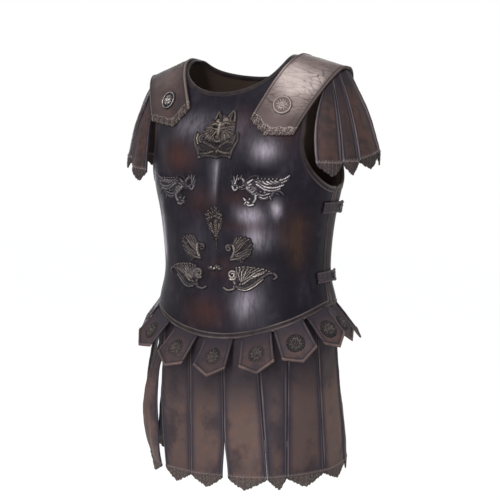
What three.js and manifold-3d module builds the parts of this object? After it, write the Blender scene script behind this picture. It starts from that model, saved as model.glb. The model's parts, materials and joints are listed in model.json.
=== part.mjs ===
// A leather muscle cuirass with its shoulder guards, hem lappets and skirt strips.
// Millimetres, +Z up, the wearer faces -Y and the wearer's left is +X.
// A piece that swings has its own origin on its hinge line, and its own X axis runs along that line.
import * as THREE from "three";
import Module from "manifold-3d";

const wasm = await Module();
wasm.setup();

// Driving sizes of the shell
const CHEST_HALF_WIDTH = 187;
const CHEST_FRONT_DEPTH = 130;
const CHEST_BACK_DEPTH = 112;
const SHELL_THICKNESS = 4;
const CREST_Z = 786; // shoulder line where the neck opening meets it
const CREST_SLOPE = Math.tan(THREE.MathUtils.degToRad(17.5)); // the shoulder line's fall towards the arm
const CREST_ROUND_HEIGHT = 130; // how far below the shoulder line the top rounds over
const NECK_HALF_WIDTH = 112;
const NECK_FRONT_DROP = 74;
const NECK_BACK_DROP = 34;
const ARMHOLE_X = 158;
const ARMHOLE_TURN_Z = 645; // where the armhole's edge starts to curve out to the side
const ARMHOLE_BOTTOM_Z = 540;
const HEM_FRONT_Z = 272;
const HEM_BACK_Z = 296;
const HEM_SIDE_Z = 330;
const BEAD_RADIUS = 3; // the rolled edge sewn round each plate
const CLEARANCE = 0.5; // between pieces that touch
const BEAD_GAP = 0.3; // between the two plates' rolled edges
const SEAM_HALF = 2 * BEAD_RADIUS + CLEARANCE + BEAD_GAP / 2; // from the seam's plane to a plate's edge

// Hanging pieces of the hem
const STATION_COUNT = 16;
const HINGE_LEAN = THREE.MathUtils.degToRad(40); // lappets hang under the edge's outer half, strips inside
const TAB_LENGTH = 80;
const TAB_CORNER = 60; // from the hinge down to a lappet's two corners
const TAB_TOP_WIDTH = 58;
const TAB_WIDE_WIDTH = 68;
const TAB_THICKNESS = 3.5;
const TAB_FLARE = THREE.MathUtils.degToRad(35);
const TAB_GAP = 2.5;
const STRIP_THICKNESS = 3.5;
const STRIP_GAP = 2.4;
const SKIRT_HALF_WIDTH = 197;
const SKIRT_FRONT_DEPTH = 152;
const SKIRT_BACK_DEPTH = 138;
const FRINGE_HEIGHT = 22; // from a strip's corners down to its lowest tooth
const STRIP_BULGE = 3;

// Shoulder guards and their strips
const GUARD_HALF_WIDTH = 43;
const GUARD_CREST_X = 165;
const GUARD_END_X = 112;
const GUARD_REAR_X = 158;
const GUARD_THICKNESS = 4.5;
const GUARD_END_INNER_Z = 684;
const GUARD_END_OUTER_Z = 654;
const GUARD_TIP_Z = 646;
const GUARD_TIP_SHARE = -0.25; // the tip's place across the guard's half width, outwards positive
const GUARD_REAR_DROP = 20; // from the shoulder line down to the guard's rear end
const MEDALLION_RADIUS = 17;
const MEDALLION_HEIGHT = 5;
const MEDALLION_X = 127;
const MEDALLION_Z = 703;
const ARM_STRIP_COUNT = 5;
const ARM_STRIP_THICKNESS = 3.2;
const ARM_STRIP_GAP = 2.6;
const ARM_STRIP_BOTTOM_Z = 576;
const ARM_STRIP_BULGE = 6;
const ARM_FAN_X = 150;
const ARM_FAN_REACH_X = 122;
const ARM_FAN_REACH_Y = 97;
const ARM_FAN_HALF_ANGLE = THREE.MathUtils.degToRad(69);
const ARM_HANGER_SHARE = 0.93; // where the strips' tops lie across the guard's outer half
const ARM_HANGER_DEPTH = 0.6; // how far their tops lie below the surface that the guard follows
const ARM_HANGER_Z = 724; // where the foremost strip's top starts under the guard's outer edge
const ARM_HANGER_DROP = 12; // the same at the back, below the shoulder line

// Side straps and their studs
const SIDE_STRAP_HIGH_Z = 508;
const SIDE_STRAP_LOW_Z = 378;
const SIDE_STRAP_HEIGHT = 21;
const SIDE_STRAP_THICKNESS = 3;
const SIDE_STRAP_FRONT = 28; // how far it reaches in front of the seam
const SIDE_STRAP_REAR = 44;
const SIDE_STRAP_LIFT = 7; // how far its free end stands off the plate
const SIDE_STRAP_ROOM = 0.35; // more clearance over the rolled edges, where it bends round the seam
const STUD_Y = 22;
const STUD_POST_RADIUS = 2.6;
const STUD_HEAD_RADIUS = 4.2;
const STUD_HEAD_HEIGHT = 2.4;
const STUD_HOLE_RADIUS = 5.6;

// Applied ornaments: centre, width and height on the breastplate
const ORNAMENT_HEIGHT = 3;
const BEAST_HEAD = { x: 0, z: 640, width: 92, height: 83 };
const WINGED_BEAST = { x: 90, z: 541, width: 100, height: 65 };
const PALMETTE = { x: 0, z: 470, width: 42, height: 80 };
const UPPER_LEAF = { x: 48, z: 434, width: 52, height: 45 };
const LOWER_SCROLL = { x: 66, z: 381, width: 94, height: 46 };

const QUARTER_TURN = Math.PI / 2;
const FULL_TURN = 2 * Math.PI;
const SECTION_POWER = 2.3; // how square a level section of the torso is
const ROUND_POWER = 2.2; // how square the shoulder's rounding is
const X_AXIS = new THREE.Vector3(1, 0, 0);
const Z_AXIS = new THREE.Vector3(0, 0, 1);

// Level sections: height as a share of the shoulder line, then width, front and back shares of the chest.
const SECTION_SHARES = [
  [0.34, 1.0, 0.985, 0.93],
  [0.42, 0.955, 0.93, 0.87],
  [0.478, 0.9, 0.9, 0.8],
  [0.535, 0.9, 0.905, 0.8],
  [0.615, 0.935, 0.93, 0.88],
  [0.69, 1.0, 0.975, 0.97],
  [0.76, 1.07, 0.91, 1.02],
  [0.83, 1.14, 0.79, 1.01],
  [0.905, 1.21, 0.71, 0.83],
  [1.0, 1.27, 0.66, 0.68],
];

// Muscle relief: place, spreads and lift as shares of the chest's half width, heights from the hem's centre.
const MUSCLE_SHARES = [
  [0.4, 1.93, 0.36, 0.3, 0.055],
  [0, 1.85, 0.075, 0.42, -0.035],
  [0.42, 1.56, 0.3, 0.06, -0.022],
  [0, 1.0, 0.05, 0.5, -0.02],
  [0.17, 1.27, 0.12, 0.11, 0.02],
  [0.17, 0.98, 0.12, 0.11, 0.02],
  [0.16, 0.68, 0.12, 0.12, 0.016],
  [0.62, 1.15, 0.22, 0.3, 0.018],
  [0, 0.42, 0.3, 0.22, 0.016],
];

// Value of one column of the section table at a height, on a smooth curve through the rows.
function sectionShare(z, column) {
  const share = Math.min(z / CREST_Z, 1);
  const rows = SECTION_SHARES;
  let i = 0;
  while (i < rows.length - 2 && share > rows[i + 1][0]) i++;
  const slopeAt = (k) => {
    const before = rows[Math.max(k - 1, 0)];
    const after = rows[Math.min(k + 1, rows.length - 1)];
    return (after[column] - before[column]) / (after[0] - before[0]);
  };
  const span = rows[i + 1][0] - rows[i][0];
  const t = (share - rows[i][0]) / span;
  const low = rows[i][column];
  const rise = rows[i + 1][column] - low;
  const start = slopeAt(i) * span;
  const end = slopeAt(i + 1) * span;
  return low + t * (start + t * (3 * rise - 2 * start - end + t * (start + end - 2 * rise)));
}

function crestZ(x) {
  return CREST_Z - CREST_SLOPE * (Math.abs(x) - NECK_HALF_WIDTH);
}

// 1 below the shoulders, falling to 0 on the shoulder line.
function shoulderRounding(x, z) {
  const t = THREE.MathUtils.clamp(1 - (crestZ(x) - z) / CREST_ROUND_HEIGHT, 0, 1);
  return (1 - t ** ROUND_POWER) ** (1 / ROUND_POWER);
}

function muscleLift(x, z) {
  let lift = 0;
  for (const [across, up, spreadX, spreadZ, height] of MUSCLE_SHARES) {
    const dx = (Math.abs(x) / CHEST_HALF_WIDTH - across) / spreadX;
    const dz = ((z - HEM_FRONT_Z) / CHEST_HALF_WIDTH - up) / spreadZ;
    lift += height * Math.exp(-dx * dx - dz * dz);
  }
  return lift * CHEST_HALF_WIDTH;
}

function sectionDepth(z, front) {
  return front ? CHEST_FRONT_DEPTH * sectionShare(z, 2) : CHEST_BACK_DEPTH * sectionShare(z, 3);
}

// Outer surface of the shell; angle 0 is centre front and a quarter turn is the wearer's left side.
function torsoPoint(angle, z, front = Math.abs(angle) <= QUARTER_TURN) {
  const s = Math.sin(angle);
  const c = Math.abs(Math.cos(angle));
  const reach = (Math.abs(s) ** SECTION_POWER + c ** SECTION_POWER) ** (-1 / SECTION_POWER);
  const x = CHEST_HALF_WIDTH * sectionShare(z, 1) * s * reach;
  const chestDepth = sectionDepth(z, front);
  const fade = c * reach * shoulderRounding(x, z);
  const muscle = front ? muscleLift(x, z) * Math.min(1, c * reach * 2) * fade ** 0.3 : 0;
  const depth = SEAM_HALF + (chestDepth - SEAM_HALF) * fade + muscle;
  return new THREE.Vector3(x, front ? -depth : depth, z);
}

// Outward normal of the shell; level along the side seams and square to the shoulder line on top.
function torsoNormal(angle, z, front) {
  const here = torsoPoint(angle, z, front);
  const side = Math.sign(here.x);
  if (crestZ(here.x) - z < CLEARANCE) return new THREE.Vector3(side * CREST_SLOPE, 0, 1).normalize();
  const step = 0.002;
  const low = torsoPoint(angle, z * (1 - step / 2), front);
  const high = torsoPoint(angle, z, front);
  const keep = (turn) => {
    const reach = Math.abs(turn);
    return Math.sign(turn) * (front ? Math.min(reach, QUARTER_TURN) : Math.max(reach, QUARTER_TURN));
  };
  const before = torsoPoint(keep(angle - step), z, front);
  const after = torsoPoint(keep(angle + step), z, front);
  const normal = after.sub(before).cross(high.sub(low)).normalize();
  return Math.abs(here.y) < SEAM_HALF + CLEARANCE / 10 ? normal.setY(0).normalize() : normal;
}

// The angle at which the section at height z reaches a given x on the front half.
function angleAt(x, z) {
  const across = Math.min(Math.abs(x) / (CHEST_HALF_WIDTH * sectionShare(z, 1)), 1);
  const along = (1 - across ** SECTION_POWER) ** (1 / SECTION_POWER);
  return Math.sign(x) * Math.atan2(across, along);
}

function wrapAngle(angle) {
  return angle > Math.PI ? angle - FULL_TURN : angle;
}

function hemZ(angle) {
  const middle = Math.abs(angle) <= QUARTER_TURN ? HEM_FRONT_Z : HEM_BACK_Z;
  return middle + (HEM_SIDE_Z - middle) * Math.sin(angle) ** 2;
}

// Outward normals of a grid of points whose rows run up and whose columns run rightwards seen from outside.
function gridNormals(grid) {
  const last = grid.length - 1;
  return grid.map((row, r) =>
    row.map((_, c) => {
      const right = row[Math.min(c + 1, row.length - 1)].clone().sub(row[Math.max(c - 1, 0)]);
      const up = grid[Math.min(r + 1, last)][c].clone().sub(grid[Math.max(r - 1, 0)][c]);
      return right.cross(up).normalize();
    }),
  );
}

function offsetGrid(grid, normals, distance) {
  return grid.map((row, r) => row.map((point, c) => point.clone().addScaledVector(normals[r][c], distance)));
}

function geometryFrom(points, triangles) {
  const geometry = new THREE.BufferGeometry();
  const positions = points.flatMap((point) => [point.x, point.y, point.z]);
  geometry.setAttribute("position", new THREE.Float32BufferAttribute(positions, 3));
  geometry.setIndex(triangles);
  return geometry;
}

// Closed slab between two matching grids.
function slab(outer, inner) {
  const rows = outer.length;
  const columns = outer[0].length;
  const points = [...outer.flat(), ...inner.flat()];
  const inside = rows * columns;
  const triangles = [];
  const quad = (a, b, c, d) => triangles.push(a, b, c, a, c, d);
  for (let r = 0; r < rows - 1; r++) {
    for (let c = 0; c < columns - 1; c++) {
      const a = r * columns + c;
      quad(a, a + 1, a + columns + 1, a + columns);
      quad(inside + a, inside + a + columns, inside + a + columns + 1, inside + a + 1);
    }
  }
  const rim = rimIndices(rows, columns);
  rim.forEach((a, i) => {
    const b = rim[(i + 1) % rim.length];
    quad(a, inside + a, inside + b, b);
  });
  return geometryFrom(points, triangles);
}

// Border vertices of a grid, anticlockwise seen from outside.
function rimIndices(rows, columns) {
  const rim = [];
  for (let c = 0; c < columns - 1; c++) rim.push(c);
  for (let r = 0; r < rows - 1; r++) rim.push(r * columns + columns - 1);
  for (let c = columns - 1; c > 0; c--) rim.push((rows - 1) * columns + c);
  for (let r = rows - 1; r > 0; r--) rim.push(r * columns);
  return rim;
}

function toSolid(geometry) {
  const mesh = new wasm.Mesh({
    numProp: 3,
    vertProperties: Float32Array.from(geometry.attributes.position.array),
    triVerts: Uint32Array.from(geometry.index.array),
  });
  mesh.merge();
  return new wasm.Manifold(mesh);
}

function fromSolid(solid) {
  const mesh = solid.getMesh();
  const geometry = new THREE.BufferGeometry();
  geometry.setAttribute("position", new THREE.Float32BufferAttribute(mesh.vertProperties, 3));
  geometry.setIndex(Array.from(mesh.triVerts));
  return geometry;
}

// Round bar between two heights along a direction from a point.
function roundBar(point, direction, low, high, radius, sides) {
  const geometry = new THREE.CylinderGeometry(radius, radius, high - low, sides);
  geometry.deleteAttribute("uv");
  geometry.deleteAttribute("normal");
  geometry.rotateX(QUARTER_TURN);
  geometry.translate(0, 0, (low + high) / 2);
  geometry.applyQuaternion(new THREE.Quaternion().setFromUnitVectors(Z_AXIS, direction));
  geometry.translate(point.x, point.y, point.z);
  return toSolid(geometry);
}

// Top outline of a plate from its centre line to the seam, as angle and height.
function topOutline(neckDrop) {
  const neckCells = 6;
  const crestCells = 2;
  const sideCells = 6;
  const turnCells = 6;
  const outline = [];
  const neckLow = CREST_Z - neckDrop;
  for (let i = 0; i < neckCells; i++) {
    const turn = (1 - (1 - i / neckCells) ** 1.6) * QUARTER_TURN;
    const z = neckLow + neckDrop * (1 - Math.cos(turn));
    outline.push([angleAt(NECK_HALF_WIDTH * Math.sin(turn), z), z]);
  }
  for (let i = 0; i < crestCells; i++) {
    const x = THREE.MathUtils.lerp(NECK_HALF_WIDTH, ARMHOLE_X, i / crestCells);
    outline.push([angleAt(x, crestZ(x)), crestZ(x)]);
  }
  for (let i = 0; i < sideCells; i++) {
    const z = THREE.MathUtils.lerp(crestZ(ARMHOLE_X), ARMHOLE_TURN_Z, (i / sideCells) ** 2);
    outline.push([angleAt(ARMHOLE_X, z), z]);
  }
  const turnAngle = angleAt(ARMHOLE_X, ARMHOLE_TURN_Z);
  for (let i = 0; i <= turnCells; i++) {
    const turn = (i / turnCells) * QUARTER_TURN;
    const angle = QUARTER_TURN - (QUARTER_TURN - turnAngle) * Math.cos(turn);
    outline.push([angle, ARMHOLE_TURN_Z - (ARMHOLE_TURN_Z - ARMHOLE_BOTTOM_Z) * Math.sin(turn)]);
  }
  return outline;
}

// One plate's outer surface and normals, columns from its left-hand seam rightwards seen from outside.
function plateGrid(front, rowCount) {
  const half = topOutline(front ? NECK_FRONT_DROP : NECK_BACK_DROP);
  const cells = half.length - 1;
  const columns = [];
  for (let i = -cells; i <= cells; i++) {
    const side = Math.sign(i);
    const [topAngle, topZ] = half[Math.abs(i)];
    const share = Math.abs(i) / cells;
    const bottomAngle = QUARTER_TURN * share ** 0.92;
    columns.push({ side, topAngle, topZ, bottomAngle });
  }
  const grid = [];
  for (let r = 0; r <= rowCount; r++) {
    const rise = Math.sin((r / rowCount) * QUARTER_TURN) ** 0.92;
    grid.push(
      columns.map(({ side, topAngle, topZ, bottomAngle }) => {
        const angle = THREE.MathUtils.lerp(bottomAngle, topAngle, rise);
        const turned = front ? side * angle : Math.PI + side * angle;
        const wrapped = wrapAngle(turned);
        const low = front ? hemZ(bottomAngle) : hemZ(Math.PI - bottomAngle);
        const z = THREE.MathUtils.lerp(low, topZ, rise);
        return { point: torsoPoint(wrapped, z, front), normal: torsoNormal(wrapped, z, front) };
      }),
    );
  }
  const pick = (key) => grid.map((row) => row.map((cell) => cell[key]));
  return { outer: pick("point"), normals: pick("normal") };
}

// Rolled edge round a plate: a ring of points at each border vertex, mitred at the corners.
function edgeBead(outer, inner, sides) {
  const outers = outer.flat();
  const inners = inner.flat();
  const rim = rimIndices(outer.length, outer[0].length);
  const middles = rim.map((i) => outers[i].clone().add(inners[i]).multiplyScalar(0.5));
  const points = [];
  rim.forEach((vertex, i) => {
    const normal = outers[vertex].clone().sub(inners[vertex]).normalize();
    const before = middles[i].clone().sub(middles[(i + rim.length - 1) % rim.length]).normalize();
    const after = middles[(i + 1) % rim.length].clone().sub(middles[i]).normalize();
    const outwardBefore = before.cross(normal).normalize();
    const outward = after.cross(normal).normalize().add(outwardBefore).normalize();
    const mitre = 1 / Math.max(outward.dot(outwardBefore), 0.6);
    const centre = middles[i].clone().addScaledVector(outward, mitre * (BEAD_RADIUS + CLEARANCE));
    for (let k = 0; k < sides; k++) {
      const turn = (k / sides) * FULL_TURN;
      points.push(
        centre
          .clone()
          .addScaledVector(normal, BEAD_RADIUS * Math.cos(turn))
          .addScaledVector(outward, mitre * BEAD_RADIUS * Math.sin(turn)),
      );
    }
  });
  const triangles = [];
  for (let i = 0; i < rim.length; i++) {
    const next = (i + 1) % rim.length;
    for (let k = 0; k < sides; k++) {
      const a = i * sides + k;
      const b = i * sides + ((k + 1) % sides);
      const c = next * sides + ((k + 1) % sides);
      const d = next * sides + k;
      triangles.push(a, b, c, a, c, d);
    }
  }
  return geometryFrom(points, triangles);
}

// Closed panel hung from a straight hinge line: a rounded top, then rows down to its lower outline.
function hungPanel(pointAt, acrossShares, downShares, thickness) {
  const noseDrop = 0.87;
  const noseShare = 0.5;
  const rows = downShares.map((down) => acrossShares.map((across) => pointAt(across, down))).reverse();
  const normals = gridNormals(rows);
  const outer = offsetGrid(rows, normals, thickness / 2);
  const inner = offsetGrid(rows, normals, -thickness / 2);
  const last = rows.length - 1;
  const nose = rows[last].map((point, c) => {
    const up = point.clone().sub(rows[last - 1][c]).normalize();
    return point.clone().addScaledVector(up, (noseDrop * thickness) / 2);
  });
  outer.push(offsetGrid([nose], [normals[last]], (noseShare * thickness) / 2)[0]);
  inner.push(offsetGrid([nose], [normals[last]], (-noseShare * thickness) / 2)[0]);
  return slab(outer, inner);
}

// The hem's rolled edge at one station: its centre, the hem's direction, the way out and the way down.
function hemFrame(angle) {
  const step = 0.01;
  const [before, after] = [-step, step].map((turn) => {
    const near = wrapAngle(angle + turn);
    return torsoPoint(near, hemZ(near));
  });
  const along = after.clone().sub(before).normalize();
  const out = along.clone().cross(Z_AXIS).normalize();
  const down = along.clone().cross(out).normalize();
  const centre = before.add(after).multiplyScalar(0.5);
  centre.addScaledVector(out, -SHELL_THICKNESS / 2).addScaledVector(down, BEAD_RADIUS + CLEARANCE);
  return { angle, along, out, down, centre };
}

// Hinge line of a piece hung against the hem's rolled edge, clear of it all along the piece.
function hingeAtHem(frame, side, thickness) {
  const way = frame.down.clone().multiplyScalar(Math.cos(HINGE_LEAN));
  way.addScaledVector(frame.out, side * Math.sin(HINGE_LEAN));
  const room = BEAD_RADIUS + CLEARANCE + thickness / 2;
  let reach = room;
  for (const share of sharesBetween(-1, 1, 8)) {
    const angle = wrapAngle(frame.angle + (share * Math.PI) / STATION_COUNT);
    const stray = hemFrame(angle).centre.sub(frame.centre);
    stray.addScaledVector(frame.along, -stray.dot(frame.along));
    const towards = stray.dot(way);
    const missed = stray.lengthSq() - towards * towards;
    reach = Math.max(reach, towards + Math.sqrt(Math.max(room * room - missed, 0)));
  }
  return frame.centre.clone().addScaledVector(way, reach);
}

// Half the room a piece has at its own point before it meets its neighbours' halves.
function roomAt(points, alongs, i) {
  const count = points.length;
  return Math.min(
    ...[(i + 1) % count, (i + count - 1) % count].map((j) => {
      const toNext = points[j].clone().sub(points[i]);
      const distance = toNext.length();
      return distance / 2 / Math.abs(alongs[i].dot(toNext) / distance);
    }),
  );
}

function sharesBetween(low, high, cells) {
  return Array.from({ length: cells + 1 }, (_, i) => THREE.MathUtils.lerp(low, high, i / cells));
}

// Lappet: a flat pentagon, flared outwards from the hem.
function tabGeometry(origin, frame, topHalf, wideHalf) {
  const fall = frame.down.clone().multiplyScalar(Math.cos(TAB_FLARE));
  fall.addScaledVector(frame.out, Math.sin(TAB_FLARE));
  const pointAt = (across, down) => {
    const reach = down * THREE.MathUtils.lerp(TAB_LENGTH, TAB_CORNER, Math.abs(across));
    const half = THREE.MathUtils.lerp(topHalf, wideHalf, Math.min(reach / TAB_CORNER, 1));
    return origin
      .clone()
      .addScaledVector(frame.along, across * half)
      .addScaledVector(fall, reach);
  };
  return hungPanel(pointAt, sharesBetween(-1, 1, 4), [0, 0.5, 1], TAB_THICKNESS);
}

// How far down its fringe a strip's lower edge reaches, at even steps from one side to the other.
const TOOTH_SHARES = [0.05, 0.35, 0.6, 1, 0.65, 0.3, 0.05];

// How far down its fringe a strip reaches at a place across it.
function toothAt(across) {
  return TOOTH_SHARES[Math.round(((across + 1) / 2) * (TOOTH_SHARES.length - 1))];
}

// Strip: ruled between its top line and its bottom corners, bowed outwards, with a toothed lower end.
function stripGeometry(topStart, topEnd, bottomStart, bottomEnd, out, bulge, thickness) {
  const pointAt = (across, down) => {
    const share = (across + 1) / 2;
    const top = topStart.clone().lerp(topEnd, share);
    const bottom = bottomStart.clone().lerp(bottomEnd, share);
    bottom.z += FRINGE_HEIGHT * (down < 1 ? 1 : 1 - toothAt(across));
    return top.lerp(bottom, down).addScaledVector(out, bulge * (1 - across * across) * Math.sqrt(down));
  };
  return hungPanel(pointAt, sharesBetween(-1, 1, TOOTH_SHARES.length - 1), [0, 0.45, 0.92, 1], thickness);
}

function skirtPoint(angle) {
  const s = Math.sin(angle);
  const c = Math.cos(angle);
  const reach = (Math.abs(s) ** SECTION_POWER + Math.abs(c) ** SECTION_POWER) ** (-1 / SECTION_POWER);
  const depth = c > 0 ? SKIRT_FRONT_DEPTH : SKIRT_BACK_DEPTH;
  return new THREE.Vector3(SKIRT_HALF_WIDTH * s * reach, -depth * c * reach, 0);
}

// Middle of the shoulder guard at a height share between its end and the shoulder line.
function guardMiddle(raised, rear) {
  return THREE.MathUtils.lerp(rear ? GUARD_REAR_X : GUARD_END_X, GUARD_CREST_X, raised);
}

// Height of the guard's pointed front end at a place across it.
function guardEndZ(across) {
  if (across < GUARD_TIP_SHARE) {
    return THREE.MathUtils.mapLinear(across, -1, GUARD_TIP_SHARE, GUARD_END_INNER_Z, GUARD_TIP_Z);
  }
  return THREE.MathUtils.mapLinear(across, GUARD_TIP_SHARE, 1, GUARD_TIP_Z, GUARD_END_OUTER_Z);
}

// Point of the surface that the guard follows, from its front or rear end up to the shoulder line.
function guardPoint(across, rise, rear) {
  const raised = 1 - (1 - rise) ** 2;
  const x = guardMiddle(raised, rear) + across * GUARD_HALF_WIDTH;
  const lowZ = rear ? crestZ(x) - GUARD_REAR_DROP : guardEndZ(across);
  const z = THREE.MathUtils.lerp(lowZ, crestZ(x), raised);
  const angle = angleAt(x, z);
  return torsoPoint(rear ? Math.PI - angle : angle, z);
}

function guardRows(acrossShares, frontShares, rearShares) {
  const rowAt = (rise, rear) => acrossShares.map((across) => guardPoint(across, rise, rear));
  return [...frontShares.map((rise) => rowAt(rise, false)), ...rearShares.map((rise) => rowAt(rise, true))];
}

const GUARD_LIFT = BEAD_RADIUS - SHELL_THICKNESS / 2 + 1.5 * CLEARANCE; // over the rolled edges

// The guard with its medallion, hinged along its rear edge.
function shoulderGuard() {
  const rows = guardRows(sharesBetween(-1, 1, 8), sharesBetween(0, 1, 8), [1, 0.6, 0.25, 0]);
  const normals = gridNormals(rows);
  const outer = offsetGrid(rows, normals, GUARD_LIFT + GUARD_THICKNESS);
  const inner = offsetGrid(rows, normals, GUARD_LIFT);
  const spot = torsoPoint(angleAt(MEDALLION_X, MEDALLION_Z), MEDALLION_Z);
  const facing = torsoNormal(angleAt(MEDALLION_X, MEDALLION_Z), MEDALLION_Z, true);
  const low = GUARD_LIFT + GUARD_THICKNESS / 2;
  const high = GUARD_LIFT + GUARD_THICKNESS + MEDALLION_HEIGHT;
  const boss = roundBar(spot, facing, low, high, MEDALLION_RADIUS, 24);
  const middleOf = (edge) => edge[0].clone().add(edge.at(-1)).multiplyScalar(0.5);
  const rearEdge = outer.at(-1);
  const origin = middleOf(rearEdge);
  const axis = rearEdge[0].clone().sub(rearEdge.at(-1)).normalize();
  return { geometry: fromSolid(toSolid(slab(outer, inner)).add(boss)), origin, axis };
}

// Line under the guard's outer edge that the arm strips hang from, as evenly spaced points.
function hangerPoints() {
  const clearX = ARMHOLE_X + 2 * BEAD_RADIUS + 2 * ARM_STRIP_THICKNESS;
  const rowAt = (rise, rear) => {
    const middle = guardMiddle(1 - (1 - rise) ** 2, rear);
    const across = Math.max(ARM_HANGER_SHARE, (clearX - middle) / GUARD_HALF_WIDTH);
    const step = 0.01;
    return [across - step, across, across + step].map((share) => guardPoint(share, rise, rear));
  };
  const front = sharesBetween(0, 1, 60).map((rise) => rowAt(rise, false));
  const rear = sharesBetween(1, 0, 24).map((rise) => rowAt(rise, true));
  const rows = [...front, ...rear];
  const under = offsetGrid(rows, gridNormals(rows), -ARM_HANGER_DEPTH);
  const samples = under.map((row) => row[1]);
  const keep = samples.filter((point) =>
    point.y < 0 ? point.z > ARM_HANGER_Z : point.z > crestZ(point.x) - ARM_HANGER_DROP,
  );
  const path = new THREE.CurvePath();
  keep.slice(1).forEach((point, i) => path.add(new THREE.LineCurve3(keep[i], point)));
  return path.getSpacedPoints(ARM_STRIP_COUNT);
}

// Strip k of the left arm, from the foremost, with its hinge.
function armStrip(hangers, k) {
  const start = hangers[k].clone();
  const end = hangers[k + 1].clone();
  const along = end.clone().sub(start).normalize();
  start.addScaledVector(along, ARM_STRIP_GAP / 2);
  end.addScaledVector(along, -ARM_STRIP_GAP / 2);
  const fanPoint = (share) => {
    const turn = THREE.MathUtils.lerp(-ARM_FAN_HALF_ANGLE, ARM_FAN_HALF_ANGLE, share);
    const x = ARM_FAN_X + ARM_FAN_REACH_X * Math.cos(turn);
    return new THREE.Vector3(x, ARM_FAN_REACH_Y * Math.sin(turn), ARM_STRIP_BOTTOM_Z);
  };
  const low = fanPoint(k / ARM_STRIP_COUNT);
  const high = fanPoint((k + 1) / ARM_STRIP_COUNT);
  const chord = high.clone().sub(low).normalize();
  low.addScaledVector(chord, ARM_STRIP_GAP / 2);
  high.addScaledVector(chord, -ARM_STRIP_GAP / 2);
  const out = chord.clone().cross(Z_AXIS);
  const geometry = stripGeometry(start, end, low, high, out, ARM_STRIP_BULGE, ARM_STRIP_THICKNESS);
  return { geometry, origin: start.clone().lerp(end, 0.5), axis: along.negate() };
}

// Closing strap over the left seam at a height, with the hole that its stud comes through.
function sideStrap(z) {
  const front = -SEAM_HALF - SIDE_STRAP_FRONT;
  const rear = SEAM_HALF + SIDE_STRAP_REAR;
  const rowAt = (height) =>
    sharesBetween(front, rear, 12).map((y) => {
      const level = z + height;
      const along = Math.max(Math.abs(y) - SEAM_HALF, 0) / (sectionDepth(level, y < 0) - SEAM_HALF);
      const across = (1 - along ** SECTION_POWER) ** (1 / SECTION_POWER);
      const x = CHEST_HALF_WIDTH * sectionShare(level, 1) * across;
      const lift = y > SEAM_HALF ? SIDE_STRAP_LIFT * ((y - SEAM_HALF) / SIDE_STRAP_REAR) ** 2 : 0;
      return new THREE.Vector3(x + lift, y, level);
    });
  const rows = sharesBetween(-0.5, 0.5, 2).map((share) => rowAt(share * SIDE_STRAP_HEIGHT));
  const normals = gridNormals(rows);
  const low = GUARD_LIFT + SIDE_STRAP_ROOM;
  const outer = offsetGrid(rows, normals, low + SIDE_STRAP_THICKNESS);
  const inner = offsetGrid(rows, normals, low);
  const { spot, facing } = studPlace(z);
  const reach = SIDE_STRAP_HEIGHT;
  const hole = roundBar(spot, facing, -reach, reach, STUD_HOLE_RADIUS, 16);
  const geometry = fromSolid(toSolid(slab(outer, inner)).subtract(hole));
  const origin = inner[1][0].clone().add(outer[1][0]).multiplyScalar(0.5);
  return { geometry, origin, axis: Z_AXIS.clone().negate() };
}

// Where a stud stands on the back plate's left side, and the way it points.
function studPlace(z) {
  const along = (STUD_Y - SEAM_HALF) / (sectionDepth(z, false) - SEAM_HALF);
  const across = (1 - along ** SECTION_POWER) ** (1 / SECTION_POWER);
  const angle = Math.PI - Math.atan2(across, along);
  const step = 0.01;
  const right = torsoPoint(angle + step, z).sub(torsoPoint(angle - step, z));
  const up = torsoPoint(angle, z * (1 + step)).sub(torsoPoint(angle, z * (1 - step)));
  return { spot: torsoPoint(angle, z), facing: right.cross(up).normalize() };
}

function studSolid(z) {
  const { spot, facing } = studPlace(z);
  const strapTop = GUARD_LIFT + SIDE_STRAP_THICKNESS + SIDE_STRAP_LIFT / 4;
  const high = strapTop + STUD_HEAD_HEIGHT;
  const post = roundBar(spot, facing, -SHELL_THICKNESS / 2, high, STUD_POST_RADIUS, 12);
  const head = roundBar(spot, facing, strapTop + CLEARANCE, high, STUD_HEAD_RADIUS, 12);
  return post.add(head);
}

// Outlines of the applied ornaments as shares of their width and height; the first two are right halves.
const BEAST_HEAD_SHARES = [
  [0, 0.36], [0.08, 0.38], [0.14, 0.5], [0.22, 0.42], [0.24, 0.3], [0.33, 0.22], [0.31, 0.12], [0.38, 0.04],
  [0.33, -0.04], [0.42, -0.1], [0.5, -0.2], [0.46, -0.34], [0.34, -0.36], [0.38, -0.46], [0.24, -0.5],
  [0.14, -0.42], [0.07, -0.48], [0, -0.4],
];
const PALMETTE_SHARES = [
  [0, 0.5], [0.2, 0.46], [0.3, 0.36], [0.46, 0.38], [0.5, 0.22], [0.36, 0.14], [0.4, 0.02], [0.24, -0.02],
  [0.3, -0.16], [0.2, -0.22], [0.18, -0.36], [0.1, -0.42], [0, -0.5],
];
const WINGED_BEAST_SHARES = [
  [-0.5, -0.1], [-0.4, -0.24], [-0.3, -0.2], [-0.24, -0.36], [-0.1, -0.48], [0.02, -0.34], [0.14, -0.44],
  [0.28, -0.5], [0.3, -0.36], [0.42, -0.3], [0.5, -0.12], [0.44, 0], [0.48, 0.14], [0.38, 0.22], [0.36, 0.38],
  [0.24, 0.36], [0.14, 0.5], [0.04, 0.38], [-0.06, 0.42], [-0.14, 0.28], [-0.26, 0.3], [-0.3, 0.16],
  [-0.42, 0.2], [-0.46, 0.04],
];
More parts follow.
